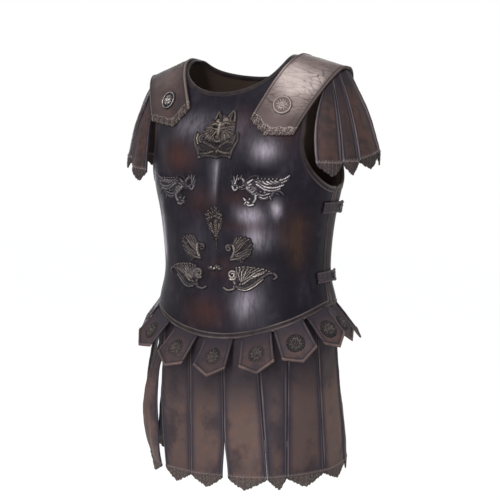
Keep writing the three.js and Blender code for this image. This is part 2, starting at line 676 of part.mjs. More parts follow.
const UPPER_LEAF_SHARES = [
  [-0.5, -0.4], [-0.3, -0.5], [-0.05, -0.44], [0.1, -0.5], [0.3, -0.38], [0.36, -0.2], [0.5, -0.1],
  [0.42, 0.08], [0.5, 0.28], [0.34, 0.32], [0.3, 0.5], [0.12, 0.4], [-0.04, 0.46], [-0.08, 0.28], [-0.26, 0.26],
  [-0.22, 0.06], [-0.42, 0.02], [-0.34, -0.16], [-0.5, -0.22],
];
const LOWER_SCROLL_SHARES = [
  [-0.5, 0.1], [-0.44, -0.1], [-0.3, -0.16], [-0.34, -0.34], [-0.2, -0.5], [-0.04, -0.42], [0.02, -0.26],
  [0.16, -0.36], [0.28, -0.24], [0.4, -0.2], [0.5, 0], [0.46, 0.2], [0.36, 0.22], [0.38, 0.4], [0.24, 0.5],
  [0.12, 0.36], [0, 0.42], [-0.08, 0.26], [-0.22, 0.36], [-0.28, 0.2], [-0.42, 0.26],
];

function bothHalves(half) {
  const other = half.slice(1, -1).map(([x, z]) => [-x, z]);
  return [...half, ...other.reverse()];
}

// Part of the shell just over the breastplate that lies inside an outline seen from the front.
function ornamentGeometry(overPlate, place, shares) {
  const outline = shares.map(
    ([x, z]) => new THREE.Vector2(place.x + x * place.width, place.z + z * place.height),
  );
  const depth = 2 * CHEST_FRONT_DEPTH;
  const prism = new THREE.ExtrudeGeometry(new THREE.Shape(outline), { depth, bevelEnabled: false });
  prism.rotateX(QUARTER_TURN);
  prism.setIndex(Array.from({ length: prism.attributes.position.count }, (_, i) => i));
  return fromSolid(overPlate.intersect(toSolid(prism)));
}

function leather(color, roughness) {
  return new THREE.MeshStandardMaterial({ color, roughness, metalness: 0, flatShading: true });
}

const SHELL_LEATHER = leather(0x2a1b18, 0.4);
const EDGE_LEATHER = leather(0x35251c, 0.5);
const STRIP_LEATHER = leather(0x46342a, 0.5);
const TAB_LEATHER = leather(0x4c392d, 0.5);
const GUARD_LEATHER = leather(0x5a4335, 0.5);
const BRONZE = leather(0x5d4c35, 0.45);
BRONZE.metalness = 0.8;

const whole = new THREE.Group();
whole.name = "cuirass";

// Six times the enclosed volume, positive when the faces point outwards.
function signedVolume(geometry) {
  const { position } = geometry.attributes;
  const corner = (i) => new THREE.Vector3().fromBufferAttribute(position, geometry.index.getX(i));
  let total = 0;
  for (let i = 0; i < geometry.index.count; i += 3) {
    total += corner(i).dot(corner(i + 1).cross(corner(i + 2)));
  }
  return total;
}

function addPiece(name, geometry, material) {
  if (signedVolume(geometry) < 0) {
    const { array } = geometry.index;
    for (let i = 0; i < array.length; i += 3) [array[i], array[i + 1]] = [array[i + 1], array[i]];
  }
  geometry.computeVertexNormals();
  const mesh = new THREE.Mesh(geometry, material);
  mesh.name = name;
  whole.add(mesh);
  return mesh;
}

function addHung(name, geometry, material, origin, axis) {
  const turn = new THREE.Quaternion().setFromUnitVectors(X_AXIS, axis);
  const local = geometry.clone().translate(-origin.x, -origin.y, -origin.z);
  local.applyQuaternion(turn.clone().invert());
  const mesh = addPiece(name, local, material);
  mesh.position.copy(origin);
  mesh.quaternion.copy(turn);
}

function addBothSides(name, piece, material) {
  const { geometry, origin, axis } = piece;
  addHung(`${name}_left`, geometry, material, origin, axis);
  const mirrored = geometry.clone().scale(-1, 1, 1);
  const mirroredOrigin = origin.clone().setX(-origin.x);
  const mirroredAxis = new THREE.Vector3(axis.x, -axis.y, -axis.z);
  addHung(`${name}_right`, mirrored, material, mirroredOrigin, mirroredAxis);
}

function addPlates() {
  const { outer: frontOuter, normals: frontNormals } = plateGrid(true, 14);
  const frontInner = offsetGrid(frontOuter, frontNormals, -SHELL_THICKNESS);
  addPiece("front_plate", slab(frontOuter, frontInner), SHELL_LEATHER);
  addPiece("front_edge_binding", edgeBead(frontOuter, frontInner, 8), EDGE_LEATHER);
  const { outer: backOuter, normals: backNormals } = plateGrid(false, 11);
  const backInner = offsetGrid(backOuter, backNormals, -SHELL_THICKNESS);
  let back = toSolid(slab(backOuter, backInner));
  for (const z of [SIDE_STRAP_HIGH_Z, SIDE_STRAP_LOW_Z]) {
    back = back.add(studSolid(z)).add(studSolid(z).mirror([1, 0, 0]));
  }
  addPiece("back_plate", fromSolid(back), SHELL_LEATHER);
  addPiece("back_edge_binding", edgeBead(backOuter, backInner, 8), EDGE_LEATHER);
  const over = slab(
    offsetGrid(frontOuter, frontNormals, CLEARANCE + ORNAMENT_HEIGHT),
    offsetGrid(frontOuter, frontNormals, CLEARANCE),
  );
  addOrnaments(toSolid(over));
}

function addOrnaments(overPlate) {
  addPiece("beast_head", ornamentGeometry(overPlate, BEAST_HEAD, bothHalves(BEAST_HEAD_SHARES)), BRONZE);
  addPiece("palmette", ornamentGeometry(overPlate, PALMETTE, bothHalves(PALMETTE_SHARES)), BRONZE);
  const pairs = [
    ["winged_beast", WINGED_BEAST, WINGED_BEAST_SHARES],
    ["upper_leaf", UPPER_LEAF, UPPER_LEAF_SHARES],
    ["lower_scroll", LOWER_SCROLL, LOWER_SCROLL_SHARES],
  ];
  for (const [name, place, shares] of pairs) {
    const mirroredPlace = { ...place, x: -place.x };
    const mirroredShares = shares.map(([x, z]) => [-x, z]).reverse();
    addPiece(`${name}_left`, ornamentGeometry(overPlate, place, shares), BRONZE);
    addPiece(`${name}_right`, ornamentGeometry(overPlate, mirroredPlace, mirroredShares), BRONZE);
  }
}

// Lappets and skirt strips, one of each per station, numbered from the centre front round the wearer's left.
function addHemPieces() {
  const frames = sharesBetween(0, FULL_TURN, STATION_COUNT)
    .slice(0, -1)
    .map((turn) => hemFrame(wrapAngle(turn)));
  const alongs = frames.map((frame) => frame.along);
  const tabHinges = frames.map((frame) => hingeAtHem(frame, 1, TAB_THICKNESS));
  const corners = frames.map((frame, i) =>
    tabHinges[i]
      .clone()
      .addScaledVector(frame.down, TAB_CORNER * Math.cos(TAB_FLARE))
      .addScaledVector(frame.out, TAB_CORNER * Math.sin(TAB_FLARE)),
  );
  frames.forEach((frame, i) => {
    const topHalf = Math.min(TAB_TOP_WIDTH / 2, roomAt(tabHinges, alongs, i) - TAB_GAP / 2);
    const wideHalf = Math.min(TAB_WIDE_WIDTH / 2, roomAt(corners, alongs, i) - TAB_GAP / 2);
    const geometry = tabGeometry(tabHinges[i], frame, topHalf, wideHalf);
    addHung(`waist_tab_${i + 1}`, geometry, TAB_LEATHER, tabHinges[i], frame.along.clone().negate());
  });
  const stripHinges = frames.map((frame) => hingeAtHem(frame, -1, STRIP_THICKNESS));
  frames.forEach((frame, i) => {
    const half = roomAt(stripHinges, alongs, i) - STRIP_GAP / 2;
    const start = stripHinges[i].clone().addScaledVector(frame.along, -half);
    const end = stripHinges[i].clone().addScaledVector(frame.along, half);
    const step = FULL_TURN / STATION_COUNT / 2;
    const low = skirtPoint(frame.angle - step);
    const high = skirtPoint(frame.angle + step);
    const chord = high.clone().sub(low).normalize();
    low.addScaledVector(chord, STRIP_GAP / 2);
    high.addScaledVector(chord, -STRIP_GAP / 2);
    const geometry = stripGeometry(start, end, low, high, frame.out, STRIP_BULGE, STRIP_THICKNESS);
    addHung(`skirt_strip_${i + 1}`, geometry, STRIP_LEATHER, stripHinges[i], frame.along.clone().negate());
  });
}

function addShoulders() {
  addBothSides("shoulder_guard", shoulderGuard(), GUARD_LEATHER);
  const hangers = hangerPoints();
  for (let k = 0; k < ARM_STRIP_COUNT; k++) {
    addBothSides(`arm_strip_${k + 1}`, armStrip(hangers, k), STRIP_LEATHER);
  }
}

function addSideStraps() {
  addBothSides("side_strap_upper", sideStrap(SIDE_STRAP_HIGH_Z), TAB_LEATHER);
  addBothSides("side_strap_lower", sideStrap(SIDE_STRAP_LOW_Z), TAB_LEATHER);
}

addPlates();
addHemPieces();
addShoulders();
addSideStraps();

// Stand the whole thing on Z = 0, centred on the origin.
const bounds = new THREE.Box3().setFromObject(whole, true);
const middle = bounds.getCenter(new THREE.Vector3()).setZ(bounds.min.z);
for (const mesh of whole.children) mesh.position.sub(middle);
whole.updateMatrixWorld(true);

export default whole;
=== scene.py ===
# A leather muscle cuirass on a white stage: shell, ornaments, shoulder guards, lappets and strips.
import json
import math

import bpy
import numpy as np
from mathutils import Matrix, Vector


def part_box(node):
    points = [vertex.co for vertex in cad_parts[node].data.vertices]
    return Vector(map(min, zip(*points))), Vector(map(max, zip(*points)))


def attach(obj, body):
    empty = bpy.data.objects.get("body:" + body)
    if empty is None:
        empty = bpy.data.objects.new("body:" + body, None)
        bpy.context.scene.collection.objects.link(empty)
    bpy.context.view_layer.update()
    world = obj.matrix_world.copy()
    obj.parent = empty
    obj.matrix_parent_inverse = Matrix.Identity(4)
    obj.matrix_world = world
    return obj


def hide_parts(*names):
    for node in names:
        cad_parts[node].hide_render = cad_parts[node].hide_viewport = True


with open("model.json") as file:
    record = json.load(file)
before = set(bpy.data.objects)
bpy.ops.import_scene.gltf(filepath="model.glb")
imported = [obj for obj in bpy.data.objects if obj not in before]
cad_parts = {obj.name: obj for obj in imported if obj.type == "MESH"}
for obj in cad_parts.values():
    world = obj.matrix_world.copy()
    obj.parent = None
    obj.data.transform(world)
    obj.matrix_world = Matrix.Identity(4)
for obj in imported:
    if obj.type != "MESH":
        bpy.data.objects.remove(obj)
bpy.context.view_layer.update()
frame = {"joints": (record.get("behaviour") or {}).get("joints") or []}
joints = {joint["child"]: joint for joint in frame["joints"]}
quarterTurn = math.pi / 2

# the shell's shape, in metres

shell = {
    "halfWidth": 0.187, "frontDepth": 0.130, "backDepth": 0.112, "thickness": 0.004,
    "crestZ": 0.786, "crestSlope": math.tan(math.radians(17.5)), "crestRound": 0.130,
    "neckHalfWidth": 0.112, "neckFrontDrop": 0.074, "neckBackDrop": 0.034,
    "armholeX": 0.158, "armholeTurnZ": 0.645, "armholeBottomZ": 0.540,
    "hemFrontZ": 0.272, "hemBackZ": 0.296, "hemSideZ": 0.330,
    "beadRadius": 0.003, "clearance": 0.0005, "seamHalf": 0.00665,
    "sectionPower": 2.3, "roundPower": 2.2,
}
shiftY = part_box("front_edge_binding")[1].y + 0.00015
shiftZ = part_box("front_plate")[1].z - shell["crestZ"]
shift = np.array([0, shiftY, shiftZ])

# height as a share of the shoulder line, then width, front and back shares of the chest
sections = np.array([
    [0.34, 1.0, 0.985, 0.93], [0.42, 0.955, 0.93, 0.87], [0.478, 0.9, 0.9, 0.8], [0.535, 0.9, 0.905, 0.8],
    [0.615, 0.935, 0.93, 0.88], [0.69, 1.0, 0.975, 0.97], [0.76, 1.07, 0.91, 1.02], [0.83, 1.14, 0.79, 1.01],
    [0.905, 1.21, 0.71, 0.83], [1.0, 1.27, 0.66, 0.68],
])
# muscles: across, up, spreads and height as shares of the chest's half width
muscles = [
    [0.4, 1.93, 0.36, 0.3, 0.055], [0, 1.85, 0.075, 0.42, -0.035], [0.42, 1.56, 0.3, 0.06, -0.022],
    [0, 1.0, 0.05, 0.5, -0.02], [0.17, 1.27, 0.12, 0.11, 0.02], [0.17, 0.98, 0.12, 0.11, 0.02],
    [0.16, 0.68, 0.12, 0.12, 0.016], [0.62, 1.15, 0.22, 0.3, 0.018], [0, 0.42, 0.3, 0.22, 0.016],
]


def lerp(a, b, t):
    return a + (b - a) * t


def bounded(value):
    return np.clip(value, 0, 1)


def smooth(low, high, value):
    t = bounded((value - low) / (high - low))
    return t * t * (3 - 2 * t)


def sectionShare(z, column):
    share = np.minimum(z / shell["crestZ"], 1)
    slopes = np.empty(len(sections))
    for k in range(len(sections)):
        before, after = sections[max(k - 1, 0)], sections[min(k + 1, len(sections) - 1)]
        slopes[k] = (after[column] - before[column]) / (after[0] - before[0])
    i = np.clip(np.searchsorted(sections[:, 0], share, side="left") - 1, 0, len(sections) - 2)
    span = sections[i + 1, 0] - sections[i, 0]
    t = (share - sections[i, 0]) / span
    low = sections[i, column]
    rise = sections[i + 1, column] - low
    start, end = slopes[i] * span, slopes[i + 1] * span
    return low + t * (start + t * (3 * rise - 2 * start - end + t * (start + end - 2 * rise)))


def crestZ(x):
    return shell["crestZ"] - shell["crestSlope"] * (np.abs(x) - shell["neckHalfWidth"])


def shoulderRounding(x, z):
    t = bounded(1 - (crestZ(x) - z) / shell["crestRound"])
    return (1 - t ** shell["roundPower"]) ** (1 / shell["roundPower"])


def muscleLift(x, z):
    lift = 0
    for across, up, spreadX, spreadZ, height in muscles:
        dx = (np.abs(x) / shell["halfWidth"] - across) / spreadX
        dz = ((z - shell["hemFrontZ"]) / shell["halfWidth"] - up) / spreadZ
        lift = lift + height * np.exp(-dx * dx - dz * dz)
    return lift * shell["halfWidth"]


# outer surface of the shell before it is shifted into place; angle 0 is centre front
def torsoPoint(angle, z, front):
    power = shell["sectionPower"]
    s, c = np.sin(angle), np.abs(np.cos(angle))
    reach = (np.abs(s) ** power + c ** power) ** (-1 / power)
    x = shell["halfWidth"] * sectionShare(z, 1) * s * reach
    frontDepth, backDepth = shell["frontDepth"] * sectionShare(z, 2), shell["backDepth"] * sectionShare(z, 3)
    chestDepth = np.where(front, frontDepth, backDepth)
    fade = c * reach * shoulderRounding(x, z)
    muscle = np.where(front, muscleLift(x, z) * np.minimum(1, c * reach * 2) * fade ** 0.3, 0)
    depth = shell["seamHalf"] + (chestDepth - shell["seamHalf"]) * fade + muscle
    return np.stack([x, np.where(front, -depth, depth), z + 0 * x], -1)


def angleAt(x, z):
    power = shell["sectionPower"]
    across = np.minimum(np.abs(x) / (shell["halfWidth"] * sectionShare(z, 1)), 1)
    return np.sign(x) * np.arctan2(across, (1 - across ** power) ** (1 / power))


def hemZ(angle):
    middle = np.where(np.abs(angle) <= quarterTurn + 1e-9, shell["hemFrontZ"], shell["hemBackZ"])
    return middle + (shell["hemSideZ"] - middle) * np.sin(angle) ** 2


def unit(v):
    return v / np.maximum(np.linalg.norm(v, axis=-1, keepdims=True), 1e-12)


# outward normals of a grid whose rows run up and whose columns run rightwards seen from outside
def gridNormals(grid):
    right = np.empty_like(grid)
    right[:, 1:-1] = grid[:, 2:] - grid[:, :-2]
    right[:, 0], right[:, -1] = grid[:, 1] - grid[:, 0], grid[:, -1] - grid[:, -2]
    up = np.empty_like(grid)
    up[1:-1] = grid[2:] - grid[:-2]
    up[0], up[-1] = grid[1] - grid[0], grid[-1] - grid[-2]
    return unit(np.cross(right, up))


def torsoNormal(angle, z, front):
    step = 0.002

    def limit(turn):
        if front:
            return np.clip(turn, -quarterTurn, quarterTurn)
        return np.sign(turn) * np.maximum(np.abs(turn), quarterTurn)

    across = torsoPoint(limit(angle + step), z, front) - torsoPoint(limit(angle - step), z, front)
    up = torsoPoint(angle, z, front) - torsoPoint(angle, z * (1 - step / 2), front)
    normal = unit(np.cross(across, up))
    here = torsoPoint(angle, z, front)
    onSeam = np.abs(here[..., 1]) < shell["seamHalf"] + 0.00005
    normal[onSeam, 1] = 0
    onCrest = crestZ(here[..., 0]) - z < 0.0005
    normal[onCrest] = 0
    normal[onCrest, 0] = (np.sign(here[..., 0]) * shell["crestSlope"])[onCrest]
    normal[onCrest, 2] = 1
    return unit(normal)


# finer forms over the muscles, alike on both sides: across, up and spreads in metres, height in millimetres
frontForms = [
    (0.098, 0.612, 0.034, 0.030, 3.2), (0.000, 0.560, 0.009, 0.060, -1.8), (0.000, 0.440, 0.008, 0.070, -1.6),
    (0.072, 0.497, 0.026, 0.020, 2.6), (0.120, 0.506, 0.014, 0.018, 3.0), (0.086, 0.449, 0.024, 0.022, 2.4),
    (0.064, 0.334, 0.030, 0.034, 2.6), (0.095, 0.562, 0.050, 0.010, -2.2), (0.045, 0.470, 0.050, 0.006, -1.2),
    (0.045, 0.408, 0.050, 0.006, -1.0), (0.135, 0.455, 0.012, 0.060, 1.6), (0.030, 0.655, 0.020, 0.030, -1.2),
    (0.100, 0.400, 0.030, 0.020, -1.4), (0.140, 0.560, 0.018, 0.022, 1.8),
]
backForms = [
    (0.000, 0.500, 0.010, 0.160, -2.4), (0.075, 0.620, 0.040, 0.045, 3.4), (0.070, 0.555, 0.050, 0.010, -2.0),
    (0.040, 0.430, 0.024, 0.090, 2.2), (0.120, 0.500, 0.020, 0.060, 1.6), (0.080, 0.350, 0.040, 0.030, 2.0),
]


# sum of soft spots, each with across, up, spreads and strength, mirrored or not
def spotSum(across, z, spots):
    total = 0
    for middle, up, spreadX, spreadZ, strength in spots:
        total = total + strength * np.exp(-((across - middle) / spreadX) ** 2 - ((z - up) / spreadZ) ** 2)
    return total


def formLift(x, z, front):
    return spotSum(np.abs(x), z, frontForms if front else backForms) / 1000


def spotMask(x, z, spots):
    return bounded(spotSum(x, z, spots)) + 0 * x


# smooth repeatable waviness between about -1 and 1
def ripple(u, v, seed):
    random = np.random.default_rng(seed)
    waves, total = 6, 0
    for _ in range(waves):
        turn = random.uniform(0, math.tau)
        size, phase = random.uniform(0.4, 1.6), random.uniform(0, math.tau)
        total = total + np.sin(size * (u * math.cos(turn) + v * math.sin(turn)) + phase)
    return total / waves ** 0.5 / 1.2


# meshes

def makePiece(name, points, faces, uv, values):
    used = np.unique(faces)
    remap = np.zeros(len(points), int)
    remap[used] = np.arange(len(used))
    faces = remap[faces]
    mesh = bpy.data.meshes.new(name)
    mesh.vertices.add(len(used))
    mesh.vertices.foreach_set("co", points[used].astype(np.float32).ravel())
    mesh.loops.add(faces.size)
    mesh.loops.foreach_set("vertex_index", faces.astype(np.int32).ravel())
    mesh.polygons.add(len(faces))
    mesh.polygons.foreach_set("loop_start", np.arange(0, faces.size, 4, dtype=np.int32))
    mesh.polygons.foreach_set("use_smooth", np.ones(len(faces), bool))
    layer = mesh.uv_layers.new(name="UVMap")
    layer.data.foreach_set("uv", uv[used][faces.ravel()].astype(np.float32).ravel())
    for key, value in values.items():
        mesh.attributes.new(key, "FLOAT", "POINT").data.foreach_set("value", value[used].astype(np.float32))
    mesh.update(calc_edges=True)
    mesh.validate()
    piece = bpy.data.objects.new(name, mesh)
    bpy.context.scene.collection.objects.link(piece)
    return piece


# closed slab between two matching grids, or the part that keep marks; the wearer's right is a mirror image
def slabPiece(name, outer, inner, uv, values, keep=None, mirror=False):
    rows, columns = outer.shape[:2]
    keep = np.ones((rows - 1, columns - 1), bool) if keep is None else keep
    if mirror:
        outer, inner = outer[:, ::-1] * [-1, 1, 1], inner[:, ::-1] * [-1, 1, 1]
        uv, keep = uv[:, ::-1], keep[:, ::-1]
        values = {key: value[:, ::-1] for key, value in values.items()}
    index = np.arange(rows * columns).reshape(rows, columns)
    corners = [index[:-1, :-1][keep], index[:-1, 1:][keep], index[1:, 1:][keep], index[1:, :-1][keep]]
    inside = rows * columns
    faces = [np.stack(corners, 1), np.stack([corners[0], corners[3], corners[2], corners[1]], 1) + inside]
    padded = np.pad(keep, 1)
    for k, (dr, dc) in enumerate([(-1, 0), (0, 1), (1, 0), (0, -1)]):
        bare = ~padded[1 + dr:rows + dr, 1 + dc:columns + dc][keep]
        start, end = corners[k][bare], corners[(k + 1) % 4][bare]
        faces.append(np.stack([start, start + inside, end + inside, end], 1))
    points = np.concatenate([outer.reshape(-1, 3), inner.reshape(-1, 3)])
    uv = np.concatenate([uv.reshape(-1, 2)] * 2)
    values = {key: np.concatenate([value.ravel()] * 2) for key, value in values.items()}
    values["lining"] = np.concatenate([np.zeros(inside), np.ones(inside)])
    return makePiece(name, points, np.concatenate(faces), uv, values)


# faces of a round-edged slab whose middle lies a height over a grid; border is the distance from the edge
def slabFaces(base, normals, height, thickness, border, reach, relief):
    soft = np.sqrt(1 - np.clip(1 - border / reach, 0, 0.96) ** 2)
    outer = base + normals * (height + (thickness / 2 + relief) * soft)[..., None]
    return outer, base + normals * (height - thickness / 2 * soft)[..., None]


# thin round-edged slab about a middle grid
def sheetPiece(name, middle, thickness, border, relief, uv, values):
    outer, inner = slabFaces(middle, gridNormals(middle), 0, thickness, border, thickness * 0.6, relief)
    return slabPiece(name, outer, inner, uv, values)


# closed sweep of a closed profile round a closed path
def ringPiece(name, sections, values):
    count, sides = sections.shape[:2]
    index = np.arange(count * sides).reshape(count, sides)
    after, turned = np.roll(index, -1, 0), np.roll(index, -1, 1)
    faces = np.stack([index, turned, np.roll(turned, -1, 0), after], -1).reshape(-1, 4)
    u = np.repeat(np.arange(count) / count, sides).reshape(count, sides)
    v = np.tile(np.arange(sides) / sides, count).reshape(count, sides)
    uv = np.stack([u, v], -1).reshape(-1, 2)
    values = {key: value.ravel() for key, value in values.items()}
    return makePiece(name, sections.reshape(-1, 3), faces, uv, values)


def dress(piece, material, body, node=None):
    if material:
        piece.data.materials.append(material)
    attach(piece, body)
    if node:
        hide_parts(node)


# shader maths

class Wire:  # a socket that can be used in sums
    def __init__(self, finish, socket):
        self.finish, self.socket = finish, socket

    def maths(self, operation, *values):
        return self.finish.node("ShaderNodeMath", {"operation": operation}, dict(enumerate(values)))

    def __add__(self, other):
        return self.maths("ADD", self, other)

    __radd__ = __add__

    def __mul__(self, other):
        return self.maths("MULTIPLY", self, other)

    def __sub__(self, other):
        return self.maths("SUBTRACT", self, other)

    def __rsub__(self, other):
        return self.maths("SUBTRACT", other, self)

    def fade(self, low, high):  # 0 at low, 1 at high, smooth between
        values = {"Value": self, "From Min": low, "From Max": high}
        return self.finish.node("ShaderNodeMapRange", {"interpolation_type": "SMOOTHSTEP"}, values)

    def clamp(self):
        return self.maths("MINIMUM", self.maths("MAXIMUM", self, 0), 1)


class Finish:  # one material with a Principled shader
    def __init__(self, name, **fixed):
        self.material = bpy.data.materials.new(name)
        self.material.use_nodes = True
        self.tree = self.material.node_tree
        self.shader = self.tree.nodes["Principled BSDF"]
        for key, value in fixed.items():
            self.shader.inputs[key.replace("_", " ")].default_value = value

    def put(self, socket, value):
        if isinstance(value, Wire):
            self.tree.links.new(value.socket, socket)
        elif isinstance(value, (tuple, list)):
            socket.default_value = (*value, 1) if socket.type == "RGBA" and len(value) == 3 else value
        else:
            socket.default_value = value

    def node(self, kind, settings=None, values=None, output=0):
        made = self.tree.nodes.new(kind)
        for key, value in (settings or {}).items():
            if key == "stops":
                ramp = made.color_ramp
                while len(ramp.elements) < len(value):
                    ramp.elements.new(0.5)
                for element, (place, colour) in zip(ramp.elements, value):
                    element.position, element.color = place, (*colour, 1)
            else:
                setattr(made, key, value)
        for key, value in (values or {}).items():
            self.put(made.inputs[key], value)
        return Wire(self, made.outputs[output])

    def place(self):
        return self.node("ShaderNodeTexCoord", output="Object")

    def stretched(self, place, scale):
        return self.node("ShaderNodeMapping", {}, {"Vector": place, "Scale": scale})

    def noise(self, place, scale, detail, rough, distortion=0.0):
        values = {"Vector": place, "Scale": scale, "Detail": detail, "Roughness": rough}
        return self.node("ShaderNodeTexNoise", {}, {**values, "Distortion": distortion})

    def cells(self, place, scale):
        return self.node("ShaderNodeTexVoronoi", {}, {"Vector": place, "Scale": scale}, "Distance")

    def attribute(self, name):
        return self.node("ShaderNodeAttribute", {"attribute_name": name}, output="Fac")

    def mix(self, factor, first, second):
        made = self.tree.nodes.new("ShaderNodeMix")
        made.data_type = "RGBA"
        self.put(made.inputs[0], factor)
        self.put(made.inputs[6], first)
        self.put(made.inputs[7], second)
        return Wire(self, made.outputs[2])

    def layers(self, look, ground, overlays):  # colours laid over a ground colour in order, each by its mask
        colour = look[ground]
        for name, mask in overlays:
            colour = self.mix(mask, colour, look[name])
        return colour

    def bump(self, height, strength, distance, under=None):
        values = {"Height": height, "Strength": strength, "Distance": distance}
        if under is not None:
            values["Normal"] = under
        return self.node("ShaderNodeBump", {}, values)

    def finish(self, colour, roughness, normal, metallic=0):
        values = {"Base Color": colour, "Roughness": roughness, "Normal": normal, "Metallic": metallic}
        for key, value in values.items():
            self.put(self.shader.inputs[key], value)
        return self.material


# materials

shellLook = {
    "deep": (0.0078, 0.0070, 0.0105), "body": (0.0145, 0.0115, 0.0170), "violet": (0.037, 0.029, 0.039),
    "rust": (0.052, 0.020, 0.015), "amber": (0.040, 0.022, 0.016), "lining": (0.050, 0.035, 0.027),
    "burnish": (0.385, 0.347, 0.394), "scuff": (0.10, 0.085, 0.085),
    # spots: across, up, spreads and strength; the highlight spots are painted highlights, the rust and amber
    # spots stains
    "frontBurnish": [
        (0.101, 0.612, 0.024, 0.020, 0.85), (0.071, 0.496, 0.024, 0.016, 0.95),
        (0.118, 0.507, 0.009, 0.016, 1.0), (0.081, 0.452, 0.026, 0.022, 0.74),
        (0.063, 0.336, 0.026, 0.034, 0.75), (0.0, 0.556, 0.005, 0.030, 0.6),
        (0.0, 0.585, 0.010, 0.020, 0.4), (-0.134, 0.470, 0.009, 0.040, 0.9),
        (-0.136, 0.425, 0.008, 0.03, 0.85), (0.010, 0.645, 0.060, 0.028, 0.42),
        (-0.060, 0.660, 0.040, 0.022, 0.38), (-0.040, 0.440, 0.03, 0.03, 0.2),
    ],
    "frontRust": [
        (-0.080, 0.600, 0.034, 0.026, 0.9), (-0.022, 0.312, 0.040, 0.026, 0.75),
        (0.055, 0.527, 0.034, 0.014, 0.5), (-0.030, 0.520, 0.030, 0.022, 0.5),
        (0.060, 0.475, 0.040, 0.010, 0.55), (0.125, 0.645, 0.030, 0.025, 0.5),
        (0.015, 0.395, 0.040, 0.020, 0.35), (0.05, 0.66, 0.02, 0.03, 0.35),
    ],
    "frontAmber": [
        (0.147, 0.470, 0.014, 0.034, 1.0), (0.142, 0.425, 0.012, 0.030, 0.8),
        (0.128, 0.455, 0.010, 0.03, 0.4),
    ],
    "backBurnish": [
        (0.078, 0.628, 0.026, 0.034, 0.55), (-0.082, 0.615, 0.022, 0.038, 0.5),
        (0.052, 0.440, 0.010, 0.060, 0.4), (-0.044, 0.415, 0.012, 0.050, 0.35),
        (0.088, 0.345, 0.030, 0.016, 0.45), (-0.095, 0.350, 0.022, 0.020, 0.35),
        (0.01, 0.705, 0.060, 0.010, 0.3), (0.135, 0.500, 0.007, 0.050, 0.35),
    ],
    "backRust": [
        (0.100, 0.520, 0.040, 0.040, 0.6), (-0.090, 0.560, 0.034, 0.030, 0.7),
        (-0.02, 0.370, 0.040, 0.030, 0.6),
    ],
    "backAmber": [(0.130, 0.420, 0.026, 0.060, 0.8), (-0.135, 0.440, 0.024, 0.060, 0.8)],
}


def shellLeather():
    finish = Finish("shell_leather_worn_with_painted_light", Specular_IOR_Level=0.07)
    place = finish.place()
    large = finish.noise(place, 11, 5, 0.62)
    middle = finish.noise(finish.stretched(place, (1, 1, 0.5)), 36, 6, 0.64, 0.4)
    streaks = finish.noise(finish.stretched(place, (1, 1, 0.07)), 230, 4, 0.65)
    scuffs = finish.noise(finish.stretched(place, (1, 1, 0.2)), 120, 8, 0.75).fade(0.6, 0.72)
    pores = finish.cells(place, 900)
    broken = middle.fade(0.28, 0.6) * 0.6 + streaks.fade(0.3, 0.62) * 0.4
    burnish, lining = finish.attribute("burnish"), finish.attribute("lining")
    colour = finish.layers(shellLook, "deep", [
        ("body", large.fade(0.38, 0.64)),
        ("violet", middle.fade(0.5, 0.72) * 0.55),
        ("rust", finish.attribute("rust") * (0.25 + broken * 0.8)),
        ("amber", finish.attribute("amber") * (0.2 + broken * 0.85)),
        # painted highlights, broken up by the noise
        ("burnish", burnish * (0.4 + burnish * 0.6) * (0.12 + broken * 0.85)),
        ("scuff", scuffs * 0.2),
        # painted shadow round the ornaments
        ("deep", finish.attribute("soil") * 0.85),
        ("lining", lining),
    ])
    rough = (0.27 + streaks * 0.12 + middle * 0.14 + lining * 0.35).clamp()
    fine = finish.bump(pores, 0.12, 0.0004)
    grain = finish.bump(streaks, 0.2, 0.0007, fine)
    return finish.finish(colour, rough, finish.bump(middle, 0.26, 0.0018, grain))


edgeLook = {"dark": (0.013, 0.010, 0.012), "brown": (0.028, 0.020, 0.020), "wornAndHighlight": (0.19, 0.155, 0.145)}


def edgeLeather():
    finish = Finish("edge_leather_rolled", Specular_IOR_Level=0.1)
    place = finish.place()
    patches = finish.noise(place, 60, 5, 0.6)
    grain = finish.noise(place, 700, 4, 0.6)
    wornAndHighlight = finish.attribute("wear") * (0.35 + patches * 0.9)
    colour = finish.layers(edgeLook, "dark", [("brown", patches.fade(0.3, 0.7)), ("wornAndHighlight", wornAndHighlight)])
    return finish.finish(colour, (0.36 + patches * 0.2).clamp(), finish.bump(grain, 0.25, 0.0005))


# soft leather: colours of its ground, its aged places and painted shade, edges, worn ridges and painted
# highlight, fringe and painted shade in hollows
stripLook = {
    "warm": (0.124, 0.073, 0.057), "olive": (0.094, 0.068, 0.062), "dark": (0.026, 0.021, 0.026),
    "blue": (0.030, 0.026, 0.037), "wornAndHighlight": (0.205, 0.165, 0.150), "fringe": (0.145, 0.118, 0.096),
    "pit": (0.013, 0.011, 0.012),
}
armLook = dict(
    stripLook, warm=(0.076, 0.041, 0.033), olive=(0.032, 0.023, 0.023), dark=(0.018, 0.014, 0.017),
    wornAndHighlight=(0.230, 0.190, 0.185), fringe=(0.068, 0.055, 0.050),
)
tabLook = dict(
    stripLook, warm=(0.082, 0.050, 0.044), olive=(0.042, 0.033, 0.037), dark=(0.021, 0.018, 0.025),
    wornAndHighlight=(0.150, 0.106, 0.092),
)
# a guard's worn colour also paints the highlight on its crest
guardLook = dict(
    stripLook, warm=(0.200, 0.150, 0.138), olive=(0.150, 0.116, 0.108), dark=(0.062, 0.045, 0.042),
    wornAndHighlight=(0.50, 0.425, 0.390), fringe=(0.155, 0.125, 0.108), pit=(0.034, 0.025, 0.024),
)
guardRightLook = dict(
    guardLook, warm=(0.098, 0.060, 0.052), olive=(0.052, 0.040, 0.037), dark=(0.032, 0.023, 0.024),
    wornAndHighlight=(0.26, 0.215, 0.19), fringe=(0.13, 0.105, 0.09),
)


